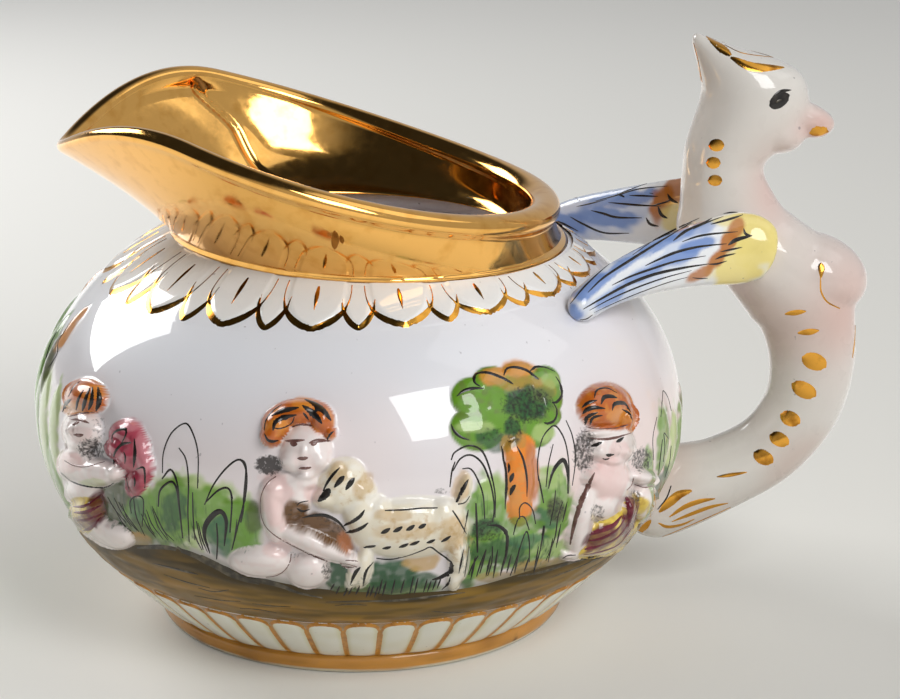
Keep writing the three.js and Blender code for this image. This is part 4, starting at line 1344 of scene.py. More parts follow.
FIGURES = ((PLANT_LUMPS, None), (TREE_LUMPS, "leaf"), (TRUNK_LUMPS, "trunk"), (BERRY_LUMPS, "berry"),
           (GOAT_LUMPS, "goat"), (SKIN_LUMPS, "skin"), (CLOTH_LUMPS, "cloth"), (HAIR_LUMPS, "hair"))
SECOND_TONES = {"leaf": ("shade", 0.6), "trunk": ("autumn", 0.6), "berry": ("berry_dark", 0.6),
                "goat": ("goat_white_and_highlight", 0.6), "skin": ("flush", 0.22), "cloth": ("ochre", 0.6),
                "hair": ("hair_gold", 0.6)}
print("lumps:", sum(len(lumps) for group, _ in FIGURES for lumps in group.values()))

# %% [markdown]
# Two plants stand where the bowl turns away from the camera, so they are placed by angle and height
# instead: one below the spout and one beside the foot of the tail. Each is a sheaf of pointed leaves.

# %% Leaves at the ends
# The pale leaves below the spout are partly their own pale green and partly a painted reflection of the
# table on the wall that turns away.
SPOUT_LEAVES = [("leaf_pale", 2, 28, 4.2, 15, 0, 0.7), ("leaf", 9, 31, 3.8, 15, 4, 0.6),
                ("leaf_pale", 17, 35, 3.8, 12, 5, 0.5), ("leaf_pale", 24, 39, 2.4, 8, 3, 0.4),
                ("leaf", 22, 27, 3.0, 9, 8, 0.4), ("leaf", 6, 45, 2.6, 10, -4, 0.8),
                ("moss", 13, 48, 1.7, 6, 3, 0.8), ("autumn", 15, 54, 1.4, 4, -6, 0.8)]
HANDLE_LEAVES = [("leaf", -30, 30, 2.2, 7, 12, 0.6), ("leaf", -24.5, 36.5, 2.8, 6.5, 4, 0.7),
                 ("leaf_pale", -18, 31, 2.6, 9, -4, 0.8), ("leaf", -11, 30, 2.6, 10, 0, 0.9),
                 ("shade", -4, 32, 2.4, 9, 4, 0.9), ("leaf_dark", -21, 26, 3.4, 4.5, 0, 0.5)]


def end_spots(angle, height, start):
    """Millimetres along the belly from a start angle, and height."""
    return np.stack([(angle - start) * BELLY_RADIUS, height], -1)


END_PLANTS = ((-math.pi, SPOUT_LEAVES), (0.0, HANDLE_LEAVES))
print("end leaves:", sum(len(leaves) for _, leaves in END_PLANTS))

# %% [markdown]
# Where two lumps meet, the higher one wins and the crease between them is filled a little, as glaze
# fills it.

# %% Mould of the frieze
CREASE_FILL = 0.7


def join_lumps(one, two):
    """The higher of two surfaces, with the crease filled where both stand out."""
    near = np.clip(CREASE_FILL - np.abs(one - two), 0, None) / CREASE_FILL
    return np.maximum(one, two) + near**2 * CREASE_FILL / 4 * smooth_step(np.minimum(one, two), 0.05, 0.6)


def mould(angle, height):
    """Lift of the relief, and for each figure colour the share of a spot that wears it."""
    base = on_bowl(angle, height)
    seen = seen_share(base)
    lift = np.zeros(len(angle))
    worn = []
    for group, name in FIGURES:
        share = np.zeros(len(angle))
        for view, lumps in group.items():
            for lump in lumps:
                distance = lump_distance(view, lump, angle, height)
                lift = join_lumps(lift, seen * swelling(distance, lump[-1]))
                share = np.maximum(share, seen * smooth_step(distance, 1.1, 0.97))
        if name is not None:
            worn.append((name, share))
    for start, leaves in END_PLANTS:
        spots = end_spots(angle, height, start)
        for _, x, y, wide, high, turn, swell in leaves:
            lift = join_lumps(lift, swelling(oval(spots, (x, y), (wide, high), turn), swell))
    return lift * (1 + 0.1 * (grain(base, 2.5, 51) - 0.5)), worn


tallest = max(lump[-1] for group, _ in FIGURES for lumps in group.values() for lump in lumps)
print("tallest lump:", tallest, "mm")

# %% [markdown]
# ## Frieze: the painted washes
#
# The painter laid thin colour over the moulded white: first the grass and the shade on the wall, then each
# figure's own colour, then the blush, folds and mottles on the figures, and a painted highlight along
# the animal's back. Every wash is an oval with a ragged edge in the same views, laid over what is below
# it.

# %% Colours of the washes
PALETTE = {
    "skin": "f3e8e4", "flush": "eecdc8", "hair": "c0621d", "hair_gold": "dc8f35", "goat": "f0e7d2",
    "goat_tan": "c9a362", "goat_white_and_highlight": "f4efe4", "cloth": "e4c650", "maroon": "611529", "leaf": "6a9a2c",
    "leaf_dark": "17502a", "leaf_pale": "b6cc80", "moss": "48521f", "teal": "27624a", "trunk": "ee8a26",
    "trunk_tan": "c67640", "berry": "b34b5c", "berry_pale": "d58f97", "berry_dark": "83293b",
    "ochre": "b48a3c", "deep": "6a4519", "autumn": "de9440", "shade": "6d7c42",
}
PALETTE = {name: colour(code) for name, code in PALETTE.items()}
print("colours:", len(PALETTE))

# %% Washes over the wall
UNDER_WASHES = {
    "left": [("leaf_pale", 830, 1000, 340, 190, 10, 0.85), ("leaf", 900, 990, 250, 120, 8, 0.85),
             ("leaf", 720, 1010, 170, 190, 20, 0.9), ("leaf", 1070, 1090, 120, 150, 0, 0.9),
             ("leaf_dark", 745, 1000, 70, 120, 20, 0.75), ("teal", 990, 1130, 75, 120, 0, 0.8),
             ("moss", 430, 935, 120, 130, 12, 0.95), ("leaf", 590, 1040, 120, 130, 20, 0.85),
             ("teal", 560, 990, 45, 80, 0, 0.6), ("moss", 520, 1090, 160, 60, 25, 0.7),
             ("ochre", 560, 1155, 85, 50, 10, 0.9), ("moss", 1150, 1010, 70, 60, 0, 0.7)],
    "middle": [("leaf", 40, 990, 110, 200, 0, 0.9), ("moss", 90, 900, 60, 110, 0, 0.7),
               ("leaf", 1000, 1370, 360, 60, 0, 0.85), ("leaf_dark", 645, 1290, 95, 120, 0, 0.95),
               ("leaf_dark", 1000, 1290, 190, 115, 0, 0.97), ("leaf_dark", 1200, 1310, 110, 60, 0, 0.85),
               ("goat_tan", 1190, 1190, 125, 62, -8, 0.8), ("leaf", 1490, 1120, 80, 230, 0, 0.9),
               ("leaf_dark", 1470, 1260, 60, 100, 0, 0.7), ("moss", 760, 1385, 200, 30, 0, 0.7)],
    "right": [("leaf", 300, 1000, 130, 230, 0, 0.95), ("leaf_pale", 330, 860, 100, 90, 0, 0.5),
              ("leaf", 720, 960, 115, 250, 0, 0.95), ("leaf_pale", 700, 800, 80, 80, 0, 0.55),
              ("leaf_dark", 290, 1130, 110, 80, 0, 0.85), ("teal", 650, 1060, 90, 70, 0, 0.7),
              ("moss", 725, 1000, 60, 75, 0, 0.8), ("leaf", 480, 1250, 320, 130, 0, 0.95),
              ("leaf_dark", 360, 1270, 190, 80, 0, 0.75), ("teal", 560, 1200, 150, 50, 0, 0.65),
              ("leaf_pale", 700, 1240, 130, 60, -10, 0.5), ("ochre", 620, 1360, 170, 50, -10, 0.85),
              ("leaf", 250, 1380, 130, 60, 0, 0.85), ("ochre", 390, 1430, 170, 40, 0, 0.6)],
}
print("washes over the wall:", sum(map(len, UNDER_WASHES.values())))

# %% Washes and painted highlights over the figures
OVER_WASHES_AND_HIGHLIGHTS = {
    "left": [("flush", 190, 745, 90, 60, 0, 0.8), ("flush", 265, 600, 60, 50, 0, 0.5),
             ("berry_pale", 588, 690, 44, 120, -8, 0.7), ("berry_pale", 520, 550, 60, 40, 0, 0.6),
             ("berry_dark", 550, 850, 38, 55, 0, 0.8), ("berry_dark", 470, 640, 40, 60, 0, 0.5),
             ("maroon", 350, 985, 55, 95, 10, 0.9), ("maroon", 290, 1055, 75, 42, -10, 0.8),
             ("leaf_pale", 330, 850, 70, 25, 0, 0.5), ("hair_gold", 225, 465, 60, 40, 0, 0.8)],
    "middle": [("flush", 240, 780, 115, 200, -8, 0.85), ("flush", 240, 1110, 90, 60, 0, 0.6),
               ("flush", 425, 540, 70, 60, 0, 0.3), ("hair_gold", 250, 290, 60, 45, 0, 0.8),
               ("hair_gold", 420, 150, 90, 40, 0, 0.6), ("goat_tan", 815, 700, 66, 100, 30, 0.6),
               ("goat_tan", 1010, 885, 120, 50, 0, 0.6), ("goat_tan", 1060, 985, 240, 60, -4, 0.5),
               ("goat_tan", 1400, 1000, 90, 130, 0, 0.6), ("goat_tan", 640, 600, 70, 80, 20, 0.6),
               # The pale goat washes along the animal's back, on this line and the next, are a painted
               # highlight.
               ("goat_tan", 1440, 700, 60, 110, 10, 0.6), ("goat_white_and_highlight", 880, 780, 70, 50, 0, 0.8),
               ("goat_white_and_highlight", 1180, 785, 270, 34, 0, 0.85), ("flush", 480, 740, 70, 60, 0, 0.6),
               ("deep", 365, 885, 88, 122, -20, 1.0), ("deep", 575, 985, 205, 84, 38, 1.0),
               ("trunk_tan", 685, 1060, 46, 70, -20, 0.7)],
    "right": [("autumn", 330, 165, 90, 55, 0, 0.85), ("autumn", 490, 120, 110, 60, 0, 0.9),
              ("ochre", 500, 210, 170, 55, 0, 0.8), ("ochre", 660, 245, 70, 70, 0, 0.5),
              ("leaf_dark", 550, 330, 150, 115, 0, 0.9), ("shade", 640, 280, 70, 60, 0, 0.6),
              ("leaf_dark", 455, 520, 55, 100, 0, 0.85), ("leaf_dark", 320, 560, 110, 70, 20, 0.75),
              ("leaf_pale", 210, 480, 130, 40, 0, 0.6), ("leaf_pale", 640, 520, 80, 60, 0, 0.7),
              ("leaf_pale", 690, 190, 60, 50, 0, 0.5), ("ochre", 420, 585, 45, 60, 0, 0.8),
              ("ochre", 510, 565, 30, 60, 0, 0.6), ("trunk_tan", 575, 780, 45, 200, -4, 0.85),
              ("autumn", 470, 950, 50, 120, 0, 0.7), ("leaf", 520, 1100, 130, 60, 0, 0.8),
              ("flush", 1060, 810, 130, 140, 0, 0.85), ("flush", 1130, 640, 80, 80, 0, 0.6),
              ("hair_gold", 1130, 420, 80, 60, 0, 0.8), ("maroon", 1010, 1180, 130, 75, -38, 0.9),
              ("maroon", 1190, 1040, 52, 140, 14, 0.95), ("maroon", 1130, 1170, 60, 60, -30, 0.5)],
}
print("washes over the figures:", sum(map(len, OVER_WASHES_AND_HIGHLIGHTS.values())))

# %% Painter of the frieze
RAGGED_EDGE = 0.45
LEAF_WIDER, LEAF_TALLER, LEAF_STRENGTH = 1.15, 1.05, 0.85


def frieze_paint(points, angle, height):
    """Colours of the frieze at points that were pressed out of the wall at an angle and a height."""
    ragged = RAGGED_EDGE * (grain(points, 1.3, 61) - 0.5)
    dabs = 1 - 0.14 * smooth_step(grain(points, 0.8, 62), 0.45, 0.8)
    seen = seen_share(points)
    views = {view: in_view(view, seen_at(points)) for view in UNDER_WASHES}

    def wash(coat, spots, name, place, half, turn, strength):
        edge = oval(spots, place, half, turn) + ragged
        return blend(coat, PALETTE[name], strength * smooth_step(edge, 1.12, 0.8) * dabs)

    def wash_all(coat, table):
        for view, rows in table.items():
            for name, x, y, wide, high, turn, strength in rows:
                coat = wash(coat, views[view], name, (x, y), (wide, high), turn, strength * seen)
        return coat

    coat = wash_all(body_tint(points), UNDER_WASHES)
    # Moss green laid just above the ground's edge, darker next to it.
    moss_above_ground = smooth_step(height - ground_edge(angle), 2.4, 0.3) * (0.7 + 0.3 * ragged)
    coat = blend(coat, PALETTE["moss"], 0.8 * moss_above_ground * seen)
    speckle = smooth_step(grain(points, 0.9, 64), 0.5, 0.75)
    for name, share in mould(angle, height)[1]:
        coat = blend(coat, PALETTE[name], share)
        second, strength = SECOND_TONES[name]
        coat = blend(coat, PALETTE[second], strength * share * speckle)
    coat = wash_all(coat, OVER_WASHES_AND_HIGHLIGHTS)
    for start, leaves in END_PLANTS:
        spots = end_spots(angle, height, start)
        for name, x, y, wide, high, turn, _ in leaves:
            half = (LEAF_WIDER * wide, LEAF_TALLER * high)
            coat = wash(coat, spots, name, (x, y), half, turn, LEAF_STRENGTH)
    return coat


print("washes have edges ragged by", RAGGED_EDGE, "of their size")

# %% [markdown]
# ## Frieze: sponge and streaks
#
# Last come marks that are finer than the mesh: dots dabbed with a sponge, streaks of a dry brush in the
# grass, and tan mottles on the animal. Their places are ovals too, kept as a second colour layer, and the
# glaze turns the layer into dots.

# %% Marks finer than the mesh
SPONGE_DABS = {
    "left": [(322, 672, 95, 75, 0, 0.72), (360, 560, 60, 90, 0, 0.5)],
    "middle": [(188, 555, 112, 82, 0, 0.86), (350, 1150, 60, 50, 0, 0.48), (565, 1250, 46, 80, 0, 0.66),
               (370, 880, 85, 120, -20, 0.5), (585, 940, 190, 70, 40, 0.52), (1320, 725, 90, 36, 0, 0.5)],
    "right": [(545, 345, 210, 160, 0, 0.64), (455, 500, 85, 130, 0, 0.6), (330, 540, 110, 80, 0, 0.52),
              (905, 630, 90, 180, 8, 0.74), (1262, 690, 84, 105, 10, 0.72), (1225, 920, 55, 70, 0, 0.62),
              (985, 1030, 66, 85, 0, 0.62), (290, 1130, 120, 100, 0, 0.62),
              (725, 1000, 80, 100, 0, 0.62)],
}
GRASS_STREAKS = {
    "left": [(780, 1060, 360, 180, 8, 0.5), (480, 1000, 150, 140, 15, 0.56)],
    "middle": [(40, 1000, 120, 190, 0, 0.45), (940, 1340, 400, 100, 0, 0.5),
               (1490, 1150, 90, 230, 0, 0.5)],
    "right": [(480, 1250, 360, 170, 0, 0.5), (290, 1000, 130, 220, 0, 0.46), (720, 950, 110, 250, 0, 0.5),
              (230, 520, 150, 100, 0, 0.42)],
}
ANIMAL_MOTTLES = {
    "middle": [(1150, 980, 420, 170, 0, 0.5), (700, 690, 230, 190, 0, 0.46),
               (1430, 1050, 130, 200, 0, 0.54)],
    "right": [(500, 800, 110, 230, 0, 0.45)],
}


def frieze_marks(points):
    """Red, green and blue say how much sponge, streak and mottle a point gets."""
    pixels = seen_at(points)
    marks = np.zeros((len(points), 3))
    for channel, table in enumerate((SPONGE_DABS, GRASS_STREAKS, ANIMAL_MOTTLES)):
        for view, rows in table.items():
            spots = in_view(view, pixels)
            for x, y, wide, high, turn, strength in rows:
                share = strength * smooth_step(oval(spots, (x, y), (wide, high), turn), 1.3, 0.5)
                marks[:, channel] = np.maximum(marks[:, channel], share)
    return marks * seen_share(points)[:, None]


print("sponge dabs:", sum(map(len, SPONGE_DABS.values())))

# %% [markdown]
# The photograph shows one side. The other is taken to be its mirror image, so the second skin is a copy
# of the first, turned over.

# %% Both sides of the frieze
FRIEZE_LOW, FRIEZE_HIGH = 14.0, 62.0
FRIEZE_COLUMNS, FRIEZE_ROWS = 550, 178
SPRIGS = ["kneeling_putto", "goat", "tree", "draped_putto", "flower_putto", "flower_bunch", "left_grass",
          "back_grass", "middle_grass", "right_grass", "handle_leaves"]


def wall_spot(u, v):
    """Angle and height on the wall for a spot of the sheet."""
    return -math.pi * (1 - u), FRIEZE_LOW + (FRIEZE_HIGH - FRIEZE_LOW) * v


def frieze_sheet(u, v):
    angle, height = wall_spot(u, v)
    rim = smooth_step(v, 0, 0.05) * smooth_step(v, 1, 0.95)
    return on_bowl(angle, height, mould(angle, height)[0] * rim + 0.04 * rim - 0.02)


frieze_bm = bmesh.new()
sheet_spots = lay_sheet(frieze_bm, FRIEZE_COLUMNS, FRIEZE_ROWS, frieze_sheet)
frieze_left = finish_piece("frieze_left", frieze_bm, DABBED_ENAMEL,
                           [sprig + "_left" for sprig in SPRIGS] + ["spout_plant"],
                           lambda points: frieze_paint(points, *wall_spot(*sheet_spots.T)))
add_coat(frieze_left.data, "marks", frieze_marks(places_of(frieze_left.data)))

mirror_bm = bmesh.new()
mirror_bm.from_mesh(frieze_left.data)
bmesh.ops.scale(mirror_bm, vec=(1, -1, 1), verts=mirror_bm.verts)
bmesh.ops.reverse_faces(mirror_bm, faces=mirror_bm.faces)
finish_piece("frieze_right", mirror_bm, DABBED_ENAMEL,
             [sprig + "_right" for sprig in SPRIGS])

# %% [markdown]
# ## Brushwork
#
# Lines are painted last, over the fired colour, with fine brushes. A drawn texture would need an image,
# and a vertex colour is too coarse for a line of a quarter of a millimetre. So each stroke is a ribbon of
# enamel that lies on the surface and follows its relief: the middle stands a few hundredths of a
# millimetre proud and the edges sink in. A stroke is drawn through a few spots on one of the enlarged
# views, carried along the sight line onto the jug, and pressed to the nearest surface.

# %% Surfaces under the brush
DRESSED = [made for made in bpy.data.objects
           if made.type == "MESH" and made.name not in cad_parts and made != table_top]


def carrier_of(pieces):
    """A search tree of all the surfaces that a brush may touch."""
    joined = bmesh.new()
    for made in pieces:
        joined.from_mesh(made.data)
    tree = BVHTree.FromBMesh(joined)
    joined.free()
    return tree


CARRIER = carrier_of(DRESSED)
print("carrier of", len(DRESSED), "pieces")

# %% Brush strokes
CAMERA_PLACE = Vector(in_frame(CAMERA_SPOT))
ACROSS = np.array([-1.0, -0.5, 0.0, 0.5, 1.0])
PROUD = np.array([-0.03, 0.05, 0.07, 0.05, -0.03])
PIXELS_PER_MM = 6.4
LEAP = 2.5 * MM
FEWEST_SPOTS = 4
SPOT_STEP, FEWEST_STEPS, MOST_STEPS = 0.45, 10, 60


def pressure(kind, share):
    """Width of a stroke along its length, from 0 to 1."""
    if kind == "line":
        return 0.45 + 0.55 * np.sin(math.pi * np.clip(0.06 + 0.88 * share, 0, 1)) ** 0.6
    if kind == "drop":
        return np.clip(np.sin(math.pi * share**0.6), 0.05, 1)
    if kind == "oval":
        return np.sqrt(np.clip(1 - (2 * share - 1) ** 2, 0.01, 1))
    return np.clip(np.sin(math.pi * np.clip(0.04 + 0.92 * share, 0, 1)) ** 0.75, 0.12, 1)


def press_ribbon(bm, spots, normals, half_widths):
    """Lays one ribbon along spots on the carrier, in metres."""
    ahead = unit(np.gradient(spots, axis=0))
    beside = unit(np.cross(ahead, normals))
    rows = len(spots)
    made = bmesh.ops.create_grid(bm, x_segments=len(ACROSS) - 1, y_segments=rows - 1, size=0.5)["verts"]
    for vert in made:
        column = round((vert.co.x + 0.5) * (len(ACROSS) - 1))
        row = round((vert.co.y + 0.5) * (rows - 1))
        wanted = spots[row] + beside[row] * ACROSS[column] * half_widths[row]
        place, normal, _, _ = CARRIER.find_nearest(Vector(wanted))
        vert.co = place + normal * float(PROUD[column] * MM)


def stroke(bm, view, kind, width, marks):
    """Draws one stroke through marks on a view of the photographed side."""
    left, top, enlarged = VIEWS[view]
    drawn = np.asarray(marks, float) / enlarged + (left, top)
    length = np.sum(np.linalg.norm(np.diff(drawn, axis=0), axis=1)) / PIXELS_PER_MM
    path = smooth_rows(drawn, int(np.clip(length / SPOT_STEP, FEWEST_STEPS, MOST_STEPS)))
    hits = [CARRIER.ray_cast(CAMERA_PLACE, sight_line(pixel)) for pixel in path]
    hits = [hit for hit in hits if hit[0] is not None]
    if len(hits) < FEWEST_SPOTS:
        return
    spots, normals = (np.array([hit[part] for hit in hits]) for part in (0, 1))
    share = np.linspace(0, 1, len(spots))
    half = width / enlarged / PIXELS_PER_MM / 2 * MM * pressure(kind, share)
    leaps = np.flatnonzero(np.linalg.norm(np.diff(spots, axis=0), axis=1) > LEAP) + 1
    for run in np.split(np.arange(len(spots)), leaps):
        if len(run) >= FEWEST_SPOTS:
            press_ribbon(bm, spots[run], normals[run], half[run])


def copy_to_far_side(bm):
    """Repeats strokes on the side that the photograph doesn't show, pressed to its surface."""
    copied = bmesh.ops.duplicate(bm, geom=bm.verts[:] + bm.edges[:] + bm.faces[:])["geom"]
    faces = [item for item in copied if isinstance(item, bmesh.types.BMFace)]
    for vert in [item for item in copied if isinstance(item, bmesh.types.BMVert)]:
        place, normal, _, _ = CARRIER.find_nearest(vert.co)
        proud = (vert.co - place).dot(normal)
        place, normal, _, _ = CARRIER.find_nearest(vert.co * Vector((1, -1, 1)))
        vert.co = place + normal * proud
    bmesh.ops.reverse_faces(bm, faces=faces)


def brush_all(name, material, tables, load=1.0):
    """One object of strokes: tables holds, for each view and kind, rows of a width and then the marks."""
    strokes_bm = bmesh.new()
    for view, kinds in tables.items():
        for kind, rows in kinds.items():
            for width, *marks in rows:
                stroke(strokes_bm, view, kind, load * width, marks)
    copy_to_far_side(strokes_bm)
    return finish_piece(name, strokes_bm, material)


print("a brush stroke is", len(ACROSS), "points wide")

# %% [markdown]
# Black comes first. It outlines the hair, the animal, the trees, the leaves and the grass. The strokes are
# listed one view at a time: leaf-shaped ones that taper at both ends, and lines of an even width.

# %% Black lines in the middle view
GOAT_DASHES = [(920, 1002, 982, 968), (1000, 992, 1062, 958), (1085, 982, 1142, 948),
               (1165, 966, 1216, 940), (808, 1092, 888, 1082), (930, 1102, 988, 1088),
               (1038, 1094, 1102, 1068), (1108, 1078, 1174, 1052), (1218, 1064, 1276, 1042),
               (1314, 1058, 1378, 1018)]
GRASS_BLADES = [(605, 1330, 1372), (640, 1345, 1400), (690, 1355, 1412), (722, 1352, 1402),
                (770, 1345, 1402), (838, 1340, 1420), (862, 1340, 1415), (892, 1345, 1420),
                (918, 1300, 1402), (944, 1312, 1410), (1002, 1300, 1402), (1062, 1302, 1392),
                (1122, 1282, 1400), (1152, 1290, 1400), (1212, 1300, 1388), (1238, 1310, 1384),
                (1272, 1300, 1372), (1302, 1290, 1362)]
MIDDLE_BLACK = {"leaf": [
    (22, (158, 330), (170, 260), (215, 200), (275, 160)),
    (40, (205, 235), (265, 205), (320, 190), (385, 180)),
    (34, (215, 330), (230, 275), (285, 245), (370, 228)),
    (62, (425, 125), (480, 150), (550, 205), (595, 265)),
    (44, (408, 165), (450, 195), (500, 240), (535, 285)),
    (16, (412, 212), (430, 235), (448, 262)),
    (30, (160, 350), (180, 392), (215, 402), (250, 395)),
    (18, (612, 335), (590, 355), (568, 392)),
    (22, (652, 572), (610, 615), (570, 670), (542, 725)),
    (34, (682, 628), (655, 655), (615, 702)),
    (34, (748, 640), (722, 672), (690, 718)),
    (60, (590, 712), (555, 750), (510, 792)),
    (18, (370, 838), (410, 858), (455, 845)),
    (22, (405, 900), (480, 885), (560, 885), (640, 925), (690, 985)),
    (26, (815, 848), (785, 890), (735, 925), (675, 955)),
    (28, (838, 932), (800, 962), (750, 985), (690, 998)),
    (42, (1345, 1165), (1385, 1200), (1365, 1255), (1310, 1290), (1255, 1305)),
    (16, (1375, 1285), (1360, 1330), (1318, 1370)),
    (24, (788, 1222), (750, 1265), (722, 1335)),
    (24, (872, 1188), (825, 1250), (803, 1345)),
    (34, (1492, 650), (1455, 715), (1412, 800)),
], "line": [
    (10, (355, 240), (340, 280), (300, 305), (250, 318), (215, 310)),
    (9, (445, 790), (395, 800), (372, 820)),
    (11, (945, 852), (1070, 848), (1180, 838), (1292, 835)),
    (13, (890, 1165), (980, 1172), (1090, 1150), (1195, 1112), (1245, 1092), (1300, 1130), (1372, 1180)),
    (13, (1388, 852), (1430, 915), (1478, 1005)),
    (12, (1500, 760), (1470, 800), (1425, 812)),
    (14, (0, 518), (30, 540), (40, 600), (30, 720), (20, 850), (5, 930)),
]}
MIDDLE_BLACK["leaf"] += [(28, (x0, y0), ((x0 + x1) / 2, (y0 + y1) / 2 + 3), (x1, y1))
                         for x0, y0, x1, y1 in GOAT_DASHES]
MIDDLE_BLACK["leaf"] += [(13, (x + 12, top), (x, (top + low) / 2), (x - 14, low))
                         for x, top, low in GRASS_BLADES]
print("black strokes in the middle:", sum(map(len, MIDDLE_BLACK.values())))

# %% Black lines in the left view
LEFT_BLADES = [[(541, 934), (556, 1030), (599, 1127)],
               [(580, 1011), (618, 1088), (657, 1136)],
               [(609, 991), (638, 1069), (696, 1146)],
               [(638, 972), (676, 1059), (725, 1146)],
               [(667, 1030), (696, 1098), (754, 1156)],
               [(464, 953), (512, 1030), (570, 1107)],
               [(435, 972), (483, 1059), (541, 1117)],
               [(406, 924), (444, 991), (502, 1059)],
               [(850, 1078), (870, 1146), (899, 1204)],
               [(879, 1059), (899, 1146), (928, 1214)],
               [(1082, 1040), (1072, 1127), (1053, 1204)]]
LEFT_BLACK = {"leaf": [
    (26, (170, 480), (185, 440), (215, 415)),
    (24, (240, 470), (250, 420), (280, 365)),
    (30, (272, 475), (288, 420), (312, 355)),
    (26, (305, 470), (322, 420), (326, 350)),
    (32, (345, 475), (362, 420), (355, 350)),
    (22, (200, 400), (228, 350), (260, 320)),
    (18, (430, 640), (430, 600), (460, 575), (500, 570), (500, 600), (480, 640)),
    (16, (440, 770), (440, 700), (480, 650), (530, 640)),
    (20, (545, 620), (548, 700), (540, 770)),
    (14, (495, 750), (497, 715), (490, 690)),
    (14, (555, 780), (590, 770), (600, 800), (600, 880)),
    (12, (500, 800), (510, 860), (520, 900)),
    (14, (545, 820), (547, 845), (545, 870)),
    (28, (940, 1220), (910, 1120), (930, 1050), (990, 1000), (1025, 1050), (1015, 1180)),
    (10, (95, 250), (140, 180), (150, 110), (205, 20)),
    (9, (70, 260), (100, 140), (140, 60)),
], "line": [
    (9, (692, 800), (698, 690), (740, 590), (810, 540), (850, 590), (878, 700), (876, 880)),
    (9, (778, 668), (815, 730), (828, 850), (825, 1000), (832, 1160)),
    (13, (670, 975), (680, 890), (735, 845), (765, 880), (780, 980), (798, 1140)),
    (12, (690, 830), (735, 782), (768, 850), (780, 960)),
    (10, (912, 965), (960, 860), (1030, 770), (1095, 730), (1130, 790), (1125, 920), (1085, 1080),
         (1055, 1200)),
    (11, (920, 950), (985, 890), (1035, 880), (1055, 940), (1045, 1110)),
    (10, (975, 1060), (980, 1150), (975, 1250)),
    (8, (850, 900), (852, 1020), (862, 1150)),
    (8, (870, 1050), (885, 1130), (905, 1200)),
    (8, (585, 1080), (592, 1000), (590, 935), (555, 920), (522, 950), (530, 1010)),
    (7, (640, 990), (670, 1080), (720, 1150)),
    (7, (600, 1010), (625, 1080), (650, 1120)),
    (7, (480, 960), (510, 1040), (560, 1100)),
    (7, (440, 930), (480, 1010), (530, 1080)),
    (9, (165, 800), (220, 845), (300, 870), (390, 875), (440, 850)),
]}
LEFT_BLACK["leaf"] += [(9, *marks) for marks in LEFT_BLADES]
print("black strokes on the left:", sum(map(len, LEFT_BLACK.values())))

